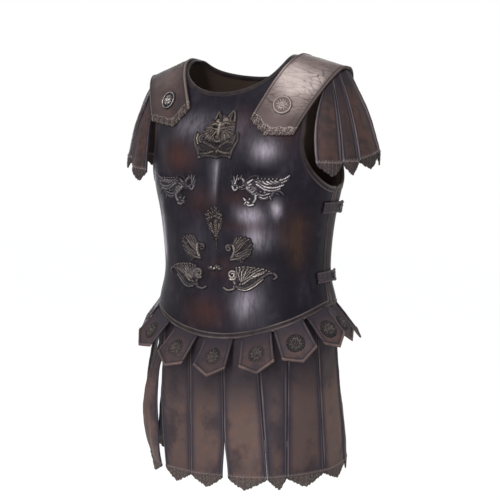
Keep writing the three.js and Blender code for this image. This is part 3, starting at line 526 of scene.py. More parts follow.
def strapLeather(name, look, grainScale=420, mottle=1.0):
    finish = Finish(name, Specular_IOR_Level=0.1)
    place = finish.place()
    wide = finish.noise(place, 14, 5, 0.62)
    blotches = finish.noise(place, 52, 6, 0.68, 0.3)
    fibres = finish.noise(place, grainScale, 5, 0.7)
    cells = finish.cells(place, grainScale * 1.3)
    fringe, blotched = finish.attribute("fringe"), 0.6 + blotches * 0.6
    look = dict(look, tufts=finish.mix(fibres.fade(0.35, 0.65), look["dark"], look["fringe"]))
    colour = finish.layers(look, "olive", [
        ("warm", blotches.fade(0.32, 0.68)),
        ("dark", wide.fade(0.46, 0.68) * 0.75 * mottle * (0.5 + blotches)),
        ("dark", finish.attribute("age") * blotched),
        ("blue", finish.attribute("edge") * (0.45 + wide * 0.9)),
        ("dark", finish.attribute("shade") * blotched),
        ("tufts", fringe),
        ("wornAndHighlight", fibres.fade(0.6, 0.8) * 0.22),
        # worn ridges, and on a guard's crest a painted highlight
        ("wornAndHighlight", finish.attribute("wear") * (0.3 + blotches * 0.9)),
        # painted shade in hollows
        ("pit", finish.attribute("pit")),
    ])
    rough = (0.42 + fibres * 0.22 + fringe * 0.12).clamp()
    return finish.finish(colour, rough, finish.bump(fibres, 0.36, 0.0007, finish.bump(cells, 0.2, 0.0004)))


bronzeLook = {
    "cool": [(0.10, (0.005, 0.0045, 0.007)), (0.45, (0.038, 0.032, 0.040)), (0.72, (0.105, 0.093, 0.102)),
             (0.90, (0.27, 0.25, 0.255)), (1.0, (0.58, 0.55, 0.55))],
    "warm": [(0.10, (0.006, 0.0045, 0.005)), (0.45, (0.042, 0.033, 0.032)), (0.72, (0.120, 0.096, 0.076)),
             (0.90, (0.27, 0.23, 0.175)), (1.0, (0.58, 0.53, 0.45))],
}


def agedBronze():
    finish = Finish("bronze_antique", Specular_IOR_Level=0.2)
    place = finish.place()
    patina = finish.noise(place, 70, 5, 0.65)
    speckle = finish.noise(place, 520, 4, 0.7)
    height = finish.attribute("relief") * 0.9 + (patina - 0.5) * 0.6 + (speckle - 0.5) * 0.8
    cool, warm = (finish.node("ShaderNodeValToRGB", {"stops": bronzeLook[key]}, {"Fac": height}, "Color")
                  for key in ("cool", "warm"))
    colour = finish.mix(finish.attribute("tone") + (patina - 0.5) * 0.8, cool, warm)
    rough = (0.6 - height * 0.26 + speckle * 0.1).clamp()
    return finish.finish(colour, rough, finish.bump(speckle, 0.4, 0.0006), (0.1 + height * 0.5).clamp())


materials = {
    "shell": shellLeather(), "edge": edgeLeather(), "bronze": agedBronze(),
    "strip": strapLeather("strip_leather_worn", stripLook),
    "arm": strapLeather("arm_leather_suede", armLook, 520),
    "tab": strapLeather("tab_leather_bound", tabLook),
    "guard": strapLeather("guard_leather_creased", guardLook, 360, 0.35),
    "guardRight": strapLeather("guard_leather_mottled", guardRightLook, 360),
}
print("materials made")

# shapes that repeat along a path or on points

def pathTree(name, sizes):
    tree = bpy.data.node_groups.new(name, "GeometryNodeTree")
    tree.interface.new_socket("Geometry", in_out="INPUT", socket_type="NodeSocketGeometry")
    for label, value in sizes.items():
        kind = "NodeSocketInt" if isinstance(value, int) else "NodeSocketFloat"
        tree.interface.new_socket(label, in_out="INPUT", socket_type=kind).default_value = value
    tree.interface.new_socket("Material", in_out="INPUT", socket_type="NodeSocketMaterial")
    tree.interface.new_socket("Geometry", in_out="OUTPUT", socket_type="NodeSocketGeometry")
    return tree, tree.nodes.new("NodeGroupInput").outputs


def treeNode(tree, kind, settings=None, values=None):
    node = tree.nodes.new(kind)
    for key, value in (settings or {}).items():
        setattr(node, key, value)
    for key, value in (values or {}).items():
        named = [socket for socket in node.inputs if socket.name == key and socket.enabled]
        socket = named[0] if named else node.inputs[key]
        for part in value if isinstance(value, list) else [value]:
            if isinstance(part, bpy.types.NodeSocket):
                tree.links.new(part, socket)
            else:
                socket.default_value = part
    return next(socket for socket in node.outputs if socket.enabled)


def finishTree(tree, given, shape, points, rotation, scale, attribute):
    shape = treeNode(tree, "GeometryNodeSetShadeSmooth", {}, {"Geometry": shape})
    shape = treeNode(tree, "GeometryNodeStoreNamedAttribute", {"data_type": "FLOAT", "domain": "POINT"},
                     {"Geometry": shape, "Name": attribute, "Value": given["Wear"]})
    placed = treeNode(tree, "GeometryNodeInstanceOnPoints", {},
                      {"Points": points, "Instance": shape, "Rotation": rotation, "Scale": scale})
    whole = treeNode(tree, "GeometryNodeRealizeInstances", {}, {"Geometry": placed})
    whole = treeNode(tree, "GeometryNodeSetMaterial", {}, {"Geometry": whole, "Material": given["Material"]})
    tree.links.new(whole, tree.nodes.new("NodeGroupOutput").inputs["Geometry"])
    return tree


# row of small beads along a path
def beadRowTree():
    sizes = {"Spacing": 0.0023, "Bead length": 0.0010, "Bead radius": 0.0008, "Unevenness": 0.25, "Seed": 7,
             "Wear": 0.9}
    tree, given = pathTree("bead_row", sizes)
    line = treeNode(tree, "GeometryNodeMeshToCurve", {}, {"Mesh": given["Geometry"]})
    line = treeNode(tree, "GeometryNodeResampleCurve", {"mode": "LENGTH"},
                    {"Curve": line, "Length": given["Spacing"]})
    tangent = treeNode(tree, "GeometryNodeInputTangent")
    turn = treeNode(tree, "FunctionNodeAlignRotationToVector", {"axis": "X"}, {"Vector": tangent})
    least = treeNode(tree, "ShaderNodeMath", {"operation": "SUBTRACT"}, {0: 1.0, 1: given["Unevenness"]})
    size = treeNode(tree, "FunctionNodeRandomValue", {"data_type": "FLOAT"},
                    {"Min": least, "Max": 1.0, "Seed": given["Seed"]})
    shape = treeNode(tree, "ShaderNodeCombineXYZ", {},
                     {"X": given["Bead length"], "Y": given["Bead radius"], "Z": given["Bead radius"]})
    scale = treeNode(tree, "ShaderNodeVectorMath", {"operation": "SCALE"}, {"Vector": shape, "Scale": size})
    ball = treeNode(tree, "GeometryNodeMeshUVSphere", {}, {"Segments": 8, "Rings": 4, "Radius": 1.0})
    return finishTree(tree, given, ball, line, turn, scale, "wear")


# stud with a domed head on each point, turned to the point's way
def studTree():
    sizes = {"Head radius": 0.0042, "Head height": 0.0024, "Post radius": 0.0026, "Post height": 0.0070,
             "Wear": 0.7}
    tree, given = pathTree("stud_set", sizes)
    way = treeNode(tree, "GeometryNodeInputNamedAttribute", {"data_type": "FLOAT_VECTOR"}, {"Name": "way"})
    turn = treeNode(tree, "FunctionNodeAlignRotationToVector", {"axis": "Z"}, {"Vector": way})
    half = treeNode(tree, "ShaderNodeMath", {"operation": "MULTIPLY"}, {0: 0.5, 1: given["Post height"]})
    rise = treeNode(tree, "ShaderNodeCombineXYZ", {}, {"Z": half})
    post = treeNode(tree, "GeometryNodeMeshCylinder", {},
                    {"Vertices": 14, "Radius": given["Post radius"], "Depth": given["Post height"]})
    post = treeNode(tree, "GeometryNodeTransform", {}, {"Geometry": post, "Translation": rise})
    top = treeNode(tree, "ShaderNodeCombineXYZ", {}, {"Z": given["Post height"]})
    broad = treeNode(tree, "ShaderNodeCombineXYZ", {},
                     {"X": given["Head radius"], "Y": given["Head radius"], "Z": given["Head height"]})
    head = treeNode(tree, "GeometryNodeMeshUVSphere", {}, {"Segments": 18, "Rings": 10, "Radius": 1.0})
    head = treeNode(tree, "GeometryNodeTransform", {}, {"Geometry": head, "Translation": top, "Scale": broad})
    stud = treeNode(tree, "GeometryNodeJoinGeometry", {}, {"Geometry": [post, head]})
    return finishTree(tree, given, stud, given["Geometry"], turn, (1, 1, 1), "relief")


repeats = {"beads": beadRowTree(), "studs": studTree()}


def repeatPiece(name, tree, points, sizes, material, ways=None):
    path = bpy.data.meshes.new(name + "_path")
    edges = [] if ways is not None else [(k, k + 1) for k in range(len(points) - 1)]
    path.from_pydata([tuple(point) for point in points], edges, [])
    if ways is not None:
        layer = path.attributes.new("way", "FLOAT_VECTOR", "POINT")
        layer.data.foreach_set("vector", np.array(ways, float).ravel())
    piece = bpy.data.objects.new(name, path)
    bpy.context.scene.collection.objects.link(piece)
    shaper = piece.modifiers.new("shaper", "NODES")
    shaper.node_group = tree
    for item in tree.interface.items_tree:
        if item.in_out == "INPUT" and item.name in sizes:
            shaper[item.identifier] = sizes[item.name]
        elif item.in_out == "INPUT" and item.name == "Material":
            shaper[item.identifier] = material
    made = bpy.data.meshes.new_from_object(piece.evaluated_get(bpy.context.evaluated_depsgraph_get()))
    piece.modifiers.clear()
    piece.data = made
    return piece


# plates

plateCells = {"neck": 34, "crest": 12, "side": 30, "turn": 34, "frontRows": 150, "backRows": 120}


def topOutline(neckDrop):
    angles, heights = [], []

    def add(x, z):
        angles.append(angleAt(x, z))
        heights.append(z + 0 * x)

    turn = (1 - (1 - np.arange(plateCells["neck"]) / plateCells["neck"]) ** 1.6) * quarterTurn
    add(shell["neckHalfWidth"] * np.sin(turn), shell["crestZ"] - neckDrop + neckDrop * (1 - np.cos(turn)))
    x = lerp(shell["neckHalfWidth"], shell["armholeX"], np.arange(plateCells["crest"]) / plateCells["crest"])
    add(x, crestZ(x))
    sideShare = (np.arange(plateCells["side"]) / plateCells["side"]) ** 2
    add(shell["armholeX"] + 0 * sideShare, lerp(crestZ(shell["armholeX"]), shell["armholeTurnZ"], sideShare))
    turn = np.linspace(0, quarterTurn, plateCells["turn"] + 1)
    turnAngle = angleAt(np.array(shell["armholeX"]), np.array(shell["armholeTurnZ"]))
    angles.append(quarterTurn - (quarterTurn - turnAngle) * np.cos(turn))
    heights.append(shell["armholeTurnZ"] - (shell["armholeTurnZ"] - shell["armholeBottomZ"]) * np.sin(turn))
    return np.concatenate(angles), np.concatenate(heights)


def plateGrid(front):
    half, heights = topOutline(shell["neckFrontDrop"] if front else shell["neckBackDrop"])
    cells = len(half) - 1
    order = np.abs(np.arange(-cells, cells + 1))
    side = np.sign(np.arange(-cells, cells + 1))
    bottom = quarterTurn * (order / cells) ** 0.92
    rows = plateCells["frontRows" if front else "backRows"]
    rise = (np.sin(np.arange(rows + 1) / rows * quarterTurn) ** 0.92)[:, None]
    angle = lerp(bottom[None], half[order][None], rise)
    turned = side * angle if front else math.pi + side * angle
    turned = np.where(turned > math.pi, turned - math.tau, turned)
    low = hemZ(bottom) if front else hemZ(math.pi - bottom)
    z = lerp(low[None], heights[order][None], rise)
    corners = [plateCells["neck"], plateCells["neck"] + plateCells["crest"]]
    return torsoPoint(turned, z, front), torsoNormal(turned, z, front), cells, corners


# ring of border vertices, anticlockwise seen from outside
def rimOf(rows, columns):
    index = np.arange(rows * columns).reshape(rows, columns)
    return np.concatenate([index[0, :-1], index[:-1, -1], index[-1, :0:-1], index[:0:-1, 0]])


# the rolled edge's section: millimetres out of the plate's face, millimetres past its edge, wear
bindingProfile = np.array([
    [-0.4, -5.6, 0.0], [0.75, -5.2, 0.7], [1.15, -4.3, 1.0], [1.1, -3.2, 0.35], [0.75, -2.0, 0.0],
    [0.7, -0.8, 0.0], [0.85, 0.6, 0.0], [1.05, 2.0, 0.25], [0.95, 3.4, 0.9], [0.4, 4.9, 1.0],
    [-0.6, 6.0, 0.5], [-2.0, 6.45, 0.2], [-3.6, 6.0, 0.0], [-4.6, 4.8, 0.0], [-5.0, 3.2, 0.0],
    [-5.1, 1.0, 0.0], [-5.1, -2.0, 0.0], [-4.8, -4.4, 0.0], [-3.4, -4.8, 0.0], [-1.6, -5.2, 0.0],
])
binding = {
    "cornerReach": 0.0062, "unevenness": 0.05, "slimmer": 0.45,
    # it is slim and little worn above the hem, and between the two side seams
    "slimAboveZ": 0.335, "seamX": 0.1835, "slimOver": 0.03,
}


def makeBinding(name, outer, normals, columnsOfCorners):
    rows, columns = outer.shape[:2]
    rim = rimOf(rows, columns)
    points, across = outer.reshape(-1, 3)[rim], normals.reshape(-1, 3)[rim]
    top = (rows - 1) * columns
    inTop = [*columnsOfCorners, *(columns - 1 - column for column in columnsOfCorners)]
    corner = np.isin(rim, [0, columns - 1, top, top + columns - 1, *(top + column for column in inTop)])
    gaps = np.full(len(rim), 9.0)
    for k in np.flatnonzero(corner):
        gaps = np.minimum(gaps, np.linalg.norm(points - points[k], axis=1))
    stay = corner | (gaps > binding["cornerReach"])
    points, across = points[stay], across[stay]
    after = unit(np.roll(points, -1, 0) - points)
    before = np.roll(after, 1, 0)
    sideBefore, sideAfter = unit(np.cross(before, across)), unit(np.cross(after, across))
    outward = unit(sideBefore + sideAfter)
    mitre = 1 / np.maximum((outward * sideBefore).sum(1), 0.6)
    out, past = bindingProfile[:, 0] / 1000, bindingProfile[:, 1] / 1000
    x, y, z = points.T
    wobble = 1 + binding["unevenness"] * ripple(x * 90, z * 90, 5)
    above = np.minimum(z - binding["slimAboveZ"], 0.7 * (binding["seamX"] - np.abs(x)) + 0.008)
    slim = smooth(0.0, binding["slimOver"], above)[:, None]
    narrow = np.where(past < 0, lerp(past, past * binding["slimmer"], slim), past)
    ring = points[:, None] + across[:, None] * out[None, :, None]
    ring = ring + outward[:, None] * (narrow * mitre[:, None] * wobble[:, None])[..., None]
    patchy = 0.55 + 0.35 * ripple(x * 60, z * 60 + y * 60, 8)
    wear = bindingProfile[:, 2] * patchy[:, None] * (1 - 0.92 * slim)
    piece = ringPiece(name, ring + shift, {"wear": bounded(wear)})
    dress(piece, materials["edge"], "shell", name.replace("_rolled", ""))


# painted shadow round the ornaments: across, up, spreads and strength
ornamentShadeSpots = [
    (0.0, 0.640, 0.050, 0.046, 0.45), (0.088, 0.541, 0.050, 0.028, 0.6), (0.0, 0.475, 0.018, 0.034, 0.4),
    (0.048, 0.434, 0.024, 0.024, 0.4), (0.066, 0.381, 0.046, 0.022, 0.5),
]


def makePlate(front):
    name = "front" if front else "back"
    outer, normals, cells, corners = plateGrid(front)
    x, z = outer[..., 0], outer[..., 2]
    shown = outer + normals * (formLift(x, z, front) + 0.00035 * ripple(x * 40, z * 40, 3 + front))[..., None]
    # masks of painted highlights and of rust and amber stains; on the front also painted shadow round the
    # ornaments
    values = {key: spotMask(x, z, shellLook[name + key.capitalize()]) for key in ("burnish", "rust", "amber")}
    values["soil"] = spotMask(np.abs(x), z, ornamentShadeSpots) if front else 0 * x
    inner = outer - normals * shell["thickness"]
    piece = slabPiece(f"{name}_plate_leather", shown + shift, inner + shift, np.stack([x, z], -1), values)
    dress(piece, materials["shell"], "shell", f"{name}_plate")
    makeBinding(f"{name}_edge_binding_rolled", outer, normals, [cells - corners[1], cells - corners[0]])
    way = unit(outer[0] - outer[1])
    reach = shell["beadRadius"] + shell["clearance"]
    return outer[0] - normals[0] * shell["thickness"] / 2 + way * reach + shift


hemPaths = [makePlate(True), makePlate(False)]
print("plates and rolled edges made")

# hanging pieces of the hem

stationCount = 16
tab = {
    "length": 0.0745, "corner": 0.0560, "topWidth": 0.058, "wideWidth": 0.068, "thickness": 0.0035,
    "flare": math.radians(35), "gap": 0.0025, "grid": 53, "curl": 0.0016, "cup": 0.0022,
    # the bound border at its foot, the piping along its sides and the grooves beside both
    "bound": 0.0050, "boundRise": 0.0011, "pipingAt": 0.0022, "pipingHalf": 0.0016, "pipingRise": 0.0006,
    "footGrooveHalf": 0.0011, "sideGrooveAt": 0.0052, "sideGrooveHalf": 0.0012, "grooveDepth": 0.0006,
}
strip = {
    "halfWidth": 0.197, "frontDepth": 0.152, "backDepth": 0.138, "gap": 0.0024, "thickness": 0.0035,
    "bulge": 0.003, "arch": 0, "spread": 0.0010, "fringe": 0.022, "teeth": 9, "columns": 44, "rows": 84,
    "fringeRows": 22, "edgeWidth": 0.016, "beadAt": 0.0021, "beadHalf": 0.0013, "topShade": 0.17,
    "reachesHem": True,
}
# the relief that all strips share, outwards
stripRise = {"bead": 0.0012, "furrow": -0.0005, "scallop": 0.0009, "lace": 0.0007}


# frame of a hung piece from its hinge: where it hangs, along the hem, out and down
def hungFrame(body):
    joint = joints[body + "_hinge"] if body + "_hinge" in joints else joints[body]
    origin = np.array(joint["pos_m"], float)
    along = -unit(np.array(joint["axis"], float))
    out = unit(np.cross(along, [0, 0, 1]))
    return origin, along, out, np.cross(along, out)


def roomAt(points, alongs, i):
    rooms = []
    for j in ((i + 1) % len(points), i - 1):
        toNext = points[j] - points[i]
        distance = np.linalg.norm(toNext)
        rooms.append(distance / 2 / abs(alongs[i] @ toNext / distance))
    return min(rooms)


# ridge of 1 on a line, falling to 0 at its half width
def ridge(distance, halfWidth):
    return bounded(1 - (distance / halfWidth) ** 2)


# saw-like ragged line with a few larger bites
def serration(u, seed, teeth=13):
    random = np.random.default_rng(seed)
    phase = u * teeth + random.uniform(0, 1)
    saw = np.abs((phase + 0.25 * np.sin(phase * 2.1 + seed)) % 1 - 0.5) * 2
    fine = np.abs((u * teeth * 2.7 + random.uniform(0, 1)) % 1 - 0.5) * 2
    return saw * 0.7 + fine * 0.3 - 0.5


# the rolled edge as a round bar, and how near a piece's top has to pass to count as under it
hem = {"radius": 0.0032, "near": 0.0042, "most": 0.02}


# how far a hung piece's top has to rise along a direction to reach the rolled edge it hangs from
def reachUp(points, upward):
    gap = np.full(points.shape[:-1], 9.0)
    for path in hemPaths:
        for start in range(0, len(path), 400):
            toPath = path[None, start:start + 400] - points[:, None]
            along = toPath @ upward
            off = np.linalg.norm(toPath - along[..., None] * upward, axis=-1)
            half = np.sqrt(np.maximum(hem["radius"] ** 2 - np.minimum(off, hem["radius"]) ** 2, 0))
            gap = np.minimum(gap, np.where(off < hem["near"], along - half, 9.0).min(1))
    return np.where(gap > hem["most"], 0, np.maximum(gap, 0))


def makeTab(i, origin, along, out, down, topHalf, wideHalf):
    random = np.random.default_rng(40 + i)
    across, drop = np.meshgrid(np.linspace(-1, 1, tab["grid"]), np.linspace(1, 0, tab["grid"]))
    fall = unit(down * math.cos(tab["flare"]) + out * math.sin(tab["flare"]))
    face = np.cross(along, -fall)
    whole = lerp(tab["length"], tab["corner"], np.abs(across))
    reach = drop * whole
    half = lerp(topHalf, wideHalf, np.minimum(reach / tab["corner"], 1))
    side = (1 - np.abs(across)) * half
    slope = (tab["length"] - tab["corner"]) / wideHalf
    foot = (1 - drop) * whole / math.hypot(1, slope)
    share = reach / tab["length"]
    bend = tab["curl"] * share ** 2 * random.uniform(-1, 1) + tab["cup"] * across ** 2 * share
    bend = bend + 0.0005 * ripple(across * 3, reach * 60, 70 + i)
    middle = origin + (across * half)[..., None] * along + reach[..., None] * fall + bend[..., None] * face
    rise = reachUp(middle[-1], -fall)
    middle = middle - fall * (rise[None] * smooth(0.022, 0.0, reach))[..., None]
    bound = smooth(tab["bound"] * 1.12, tab["bound"] * 0.86, foot)
    piping = ridge(side - tab["pipingAt"], tab["pipingHalf"]) * smooth(0.004, 0.010, reach)
    sideGroove = ridge(side - tab["sideGrooveAt"], tab["sideGrooveHalf"]) * 0.6 * (1 - bound)
    groove = bounded(ridge(foot - tab["bound"] * 1.22, tab["footGrooveHalf"]) + sideGroove)
    relief = tab["boundRise"] * bound + tab["pipingRise"] * piping * (1 - bound) - tab["grooveDepth"] * groove
    relief = relief + 0.00025 * ripple(across * 7, reach * 300, 90 + i)
    border = np.minimum(side, np.minimum(foot, reach + 0.001))
    wear = bound * ridge(foot - 0.0024, 0.0026) * 0.75 + piping * 0.55 + bound * 0.15
    wear = wear * (0.8 + 0.4 * ripple(across * 4, reach * 90, 50 + i))
    # painted shade near the top under the rolled edge and in the grooves
    shade = (1 - smooth(0.004, 0.034, reach)) * 0.85 + groove * 0.8
    values = {
        "edge": smooth(0.012, 0.004, side) * (1 - bound) * 0.6, "wear": bounded(wear), "fringe": 0 * border,
        "pit": groove * 0.55, "shade": bounded(shade) * (1 - bound),
        "age": random.uniform(-0.1, 0.4) + 0 * border,
    }
    uv = np.stack([across * half, reach], -1)
    piece = sheetPiece(f"waist_tab_{i}_leather", middle, tab["thickness"] * 0.8, border, relief, uv, values)
    dress(piece, materials["tab"], f"waist_tab_{i}", f"waist_tab_{i}")
    return fall, face


# two ends of a line, each moved out by a distance
def spreadApart(first, last, distance):
    way = unit(last - first) * distance
    return first - way, last + way


# middle of a strip between its top line and its foot corners, with a ragged single point below its band;
# a runs across from -1 to 1, v is the way down, and the band is length long
def hangStrip(start, end, low, high, outs, size, seed, tip, mood):
    a = np.linspace(-1, 1, size["columns"] + 1)
    a = (a * 0.72 + 0.28 * np.sin(a * quarterTurn))[None]
    share = (a + 1) / 2
    point = 1 - (np.abs(a - tip) / np.where(a > tip, 1 - tip, 1 + tip)) ** 1.15 * 0.90
    point = np.clip(point + serration(share, seed, size["teeth"]) * 0.24 * (0.4 + 0.6 * point), 0.03, 1.02)
    top = start + share[..., None] * (end - start)
    foot = low + share[..., None] * (high - low) + np.array([0, 0, size["fringe"] * 1.02])
    down = np.linspace(0, 1, size["rows"] + 1)
    downFringe = np.linspace(0, 1, size["fringeRows"] + 1)[1:]
    fringe = foot - np.array([0, 0, 1]) * (downFringe[:, None, None] * size["fringe"] * point[..., None])
    middle = np.concatenate([top + down[:, None, None] * (foot - top), fringe])
    length = np.linalg.norm(foot - top, axis=-1).mean()
    v = np.concatenate([down * length, length + downFringe * size["fringe"]])[:, None] + 0 * a
    drop = bounded(v / length)
    # waves, bulge, sway, twist, folds, and edges drawn in half way or at the foot
    waves = 0.0020 * ripple(a * 0.8, v * 18, seed + 1) + 0.0007 * ripple(a * 3, v * 60, seed + 2)
    bow = size["bulge"] * (1 - a * a) * np.sqrt(drop) + waves * smooth(0, 0.08, v) * (1 - a ** 6)
    belly, nearFoot = np.sin(drop * math.pi) ** 0.8, smooth(0.72, 1.0, drop)
    late = mood.get("late", 0)
    sag = np.sin(bounded((drop - late) / (1 - late)) * math.pi)
    twist = np.sin(drop * math.tau + 0.6) * smooth(late, late + 0.15, drop + 0.001)
    bow = bow + (size["arch"] + mood.get("sway", 0) + mood.get("lowOut", 0) * (1 - share)) * sag
    bow = bow + mood.get("twist", 0) * a * twist
    bow = bow + mood.get("fold", 0) * np.sin(a * 6.5 + 1.6 * np.sin(v * 21 + 1)) * belly
    (lowPull, highPull), (lowPart, highPart) = mood.get("pull", (0, 0)), mood.get("part", (0, 0))
    lean = (lowPull * belly + lowPart * nearFoot) * (1 - share)
    lean = lean - (highPull * belly + highPart * nearFoot) * share
    facing = unit(lerp(outs[0], outs[1], share[..., None]))
    middle = middle + bow[..., None] * facing + lean[..., None] * unit(high - low)
    if size["reachesHem"]:
        upward = unit(start - low + (end - high))
        middle = middle + upward * (reachUp(middle[0], upward)[None] * smooth(0.03, 0.0, v))[..., None]
    return middle[::-1], a + 0 * v, v[::-1], length, point


# a strip's face: beaded edges, a scalloped band and a lace-like fringe
def stripFace(a, v, side, length, point, size, seed, age):
    inFringe = (v > length - 1e-9).astype(float)
    ragged = (1 - bounded((v - length) / size["fringe"])) * point * size["fringe"]
    border = np.minimum(side, np.where(inFringe > 0, ragged, 1)) + 0.0002
    border = np.minimum(border, v + 0.001)
    bead = ridge(side - size["beadAt"], size["beadHalf"]) * (1 - inFringe)
    furrow = ridge(side - size["beadAt"] - size["beadHalf"] * 1.7, size["beadHalf"]) * (1 - inFringe)
    scallop = ridge(v - (length - 0.0035 + 0.0011 * np.sin(a * 26 + seed)), 0.0021)
    lace = np.sin(a * 31 + 2 * np.sin(v * 700 + seed)) * np.sin(v * 640 + a * 9)
    relief = (stripRise["bead"] * bead + stripRise["furrow"] * furrow) * smooth(0.010, 0.034, v)
    relief = relief + stripRise["scallop"] * scallop
    relief = relief + stripRise["lace"] * lace * smooth(length - 0.002, length + 0.003, v)
    relief = relief + 0.00022 * ripple(a * 9, v * 260, seed + 5) + 0.0003 * ripple(a * 4, v * 90, seed + 6)
    wear = bead * (0.55 + 0.35 * ripple(0 * a, v * 60, seed + 7)) * np.where(a < 0, 1, 0.45)
    wear = wear + scallop * (0.55 + 0.4 * np.sin(a * 40 + seed))
    wear = wear + smooth(0.5, 0.95, lace) * inFringe * 0.35
    shade = (1 - smooth(size["topShade"] * 0.3, size["topShade"], v)) * 1.1 + smooth(0.004, 0.0, side) * 0.6
    shade = shade + furrow * 0.85 + smooth(length - 0.03, length, v) * 0.25
    return border, relief, {
        "edge": smooth(size["edgeWidth"], 0.003, side), "wear": bounded(wear), "shade": bounded(shade),
        # painted shade in the lace holes of the fringe
        "pit": smooth(-0.35, -0.9, lace) * inFringe * 0.6,
        "fringe": smooth(length - 0.001, length + 0.002, v) * 0.85, "age": age + 0 * a,
    }


def makeStrip(body, start, end, low, high, outs, size, seed, material, mood):
    random = np.random.default_rng(seed)
    tip, age = random.uniform(-0.28, 0.28), random.uniform(-0.25, 0.55) + mood.get("age", 0)
    start, end = spreadApart(start, end, size["spread"])
    low, high = spreadApart(low, high, size["spread"])
    middle, a, v, length, point = hangStrip(start, end, low, high, outs, size, seed, tip, mood)
    halfWidth = np.linalg.norm(high - low) / 2
    side = (1 - np.abs(a)) * halfWidth
    border, relief, values = stripFace(a, v, side, length, point, size, seed, age)
    row = np.abs(v[:, 0] - length + 0.0035).argmin()
    line = (middle + gridNormals(middle) * (size["thickness"] * 0.4 + 0.0006))[row][side[row] > 0.0012]
    uv = np.stack([a * halfWidth, v], -1)
    piece = sheetPiece(f"{body}_leather", middle, size["thickness"] * 0.8, border, relief, uv, values)
    beading = repeatPiece(f"{body}_beading", repeats["beads"], line, {"Seed": seed}, material)
    dress(beading, None, body)
    dress(piece, material, body, body)


def skirtPoint(degrees, rise):
    power = shell["sectionPower"]
    s, c = math.sin(math.radians(degrees)), math.cos(math.radians(degrees))
    reach = (abs(s) ** power + abs(c) ** power) ** (-1 / power)
    depth = strip["frontDepth"] if c > 0 else strip["backDepth"]
    return np.array([strip["halfWidth"] * s * reach, -depth * c * reach, rise]) + shift


# uneven cuts between the strips, by the strip before: shift along the hem in strips, foot angle, foot height
skirtCuts = {
    14: (-0.1, -57.0, -0.012), 15: (-0.45, -30.0, -0.012), 16: (-0.28, -10.2, -0.010),
    1: (-0.28, 11.2, -0.006), 2: (-0.38, 34.4, -0.003), 3: (-0.5, 45.0, 0), 4: (-0.4, 71.0, 0),
}
# the few strips that hang less evenly: turned, standing out, or with an edge drawn in half way or at the foot
stripMood = {
    1: {"part": (0, 0.005), "age": -0.1}, 2: {"part": (0.005, 0), "age": -0.2}, 3: {"age": 0.2},
    4: {"age": 0.25}, 14: {"sway": 0.018},
    15: {"sway": 0.022, "pull": (0.006, 0.010), "part": (0, 0.012), "twist": 0.006, "late": 0.24,
         "fold": 0.0022},
    16: {"age": 0.15, "lowOut": 0.012},
}
# how far the lappets near the front sit along the hem from their hinges' middles
tabSlide = {15: 0.006, 16: 0.012, 1: 0.012, 2: 0.012, 3: 0.001, 4: 0.003}


def makeHemPieces():
    stations = range(stationCount)
    tabs = [hungFrame(f"waist_tab_{i + 1}") for i in stations]
    stripHinges = [hungFrame(f"skirt_strip_{i + 1}")[0] for i in stations]
    tabHinges, alongs = [entry[0] for entry in tabs], [entry[1] for entry in tabs]
    cornerDrop, cornerOut = tab["corner"] * math.cos(tab["flare"]), tab["corner"] * math.sin(tab["flare"])
    corners = [origin + down * cornerDrop + out * cornerOut for origin, _, out, down in tabs]
    rooms = [roomAt(stripHinges, alongs, i) for i in stations]
    ends = [(stripHinges[i] - alongs[i] * rooms[i], stripHinges[i] + alongs[i] * rooms[i]) for i in stations]
    hemLine = []
    for i in stations:
        hemLine += [stripHinges[i], (ends[i][1] + ends[(i + 1) % stationCount][0]) / 2]
    hemLine = np.array(hemLine + hemLine[:1])
    tops, feet = [], []
    for i in stations:
        along, degrees, rise = skirtCuts.get(i + 1, (0, (i + 0.5) * 360 / stationCount, 0))
        place = (2 * i + 1 + 2 * along) % (2 * stationCount)
        tops.append(np.array([np.interp(place, np.arange(len(hemLine)), values) for values in hemLine.T]))
        feet.append(skirtPoint(degrees, rise))
    faces = []
    for i in stations:
        topHalf = min(tab["topWidth"] / 2, roomAt(tabHinges, alongs, i) - tab["gap"] / 2)
        wideHalf = min(tab["wideWidth"] / 2, roomAt(corners, alongs, i) - tab["gap"] / 2)
        origin, along, out, down = tabs[i]
        origin = origin + along * tabSlide.get(i + 1, 0)
        fall, face = makeTab(i + 1, origin, along, out, down, topHalf, wideHalf)
        faces.append((origin, along, fall, face, wideHalf))
        start, end = spreadApart(tops[i - 1], tops[i], -strip["gap"] / 2)
        low, high = spreadApart(feet[i - 1], feet[i], -strip["gap"] / 2)
        out = unit(np.cross(high - low, [0, 0, 1]))
        makeStrip(f"skirt_strip_{i + 1}", start, end, low, high, [out, out], strip, 200 + 9 * i,
                  materials["strip"], stripMood.get(i + 1, {}))
    return faces


tabFaces = makeHemPieces()
print("lappets and skirt strips made")

# shoulder guards

guard = {
    "rearX": 0.158, "rearHalf": 0.043, "thickness": 0.0045, "rearDrop": 0.020, "lift": 0.00175, "lace": 0.015,
    "edgeRound": 0.0026, "rollAt": 0.0020, "rollHalf": 0.0018, "gutterAt": 0.0047, "gutterHalf": 0.0011,
    "creaseLength": 0.015, "creaseGap": 0.0042,
}
# relief outwards, in metres
guardRise = {"roll": 0.0011, "gutter": -0.0006, "loops": 0.0012, "rim": 0.0007, "creases": -0.0008}
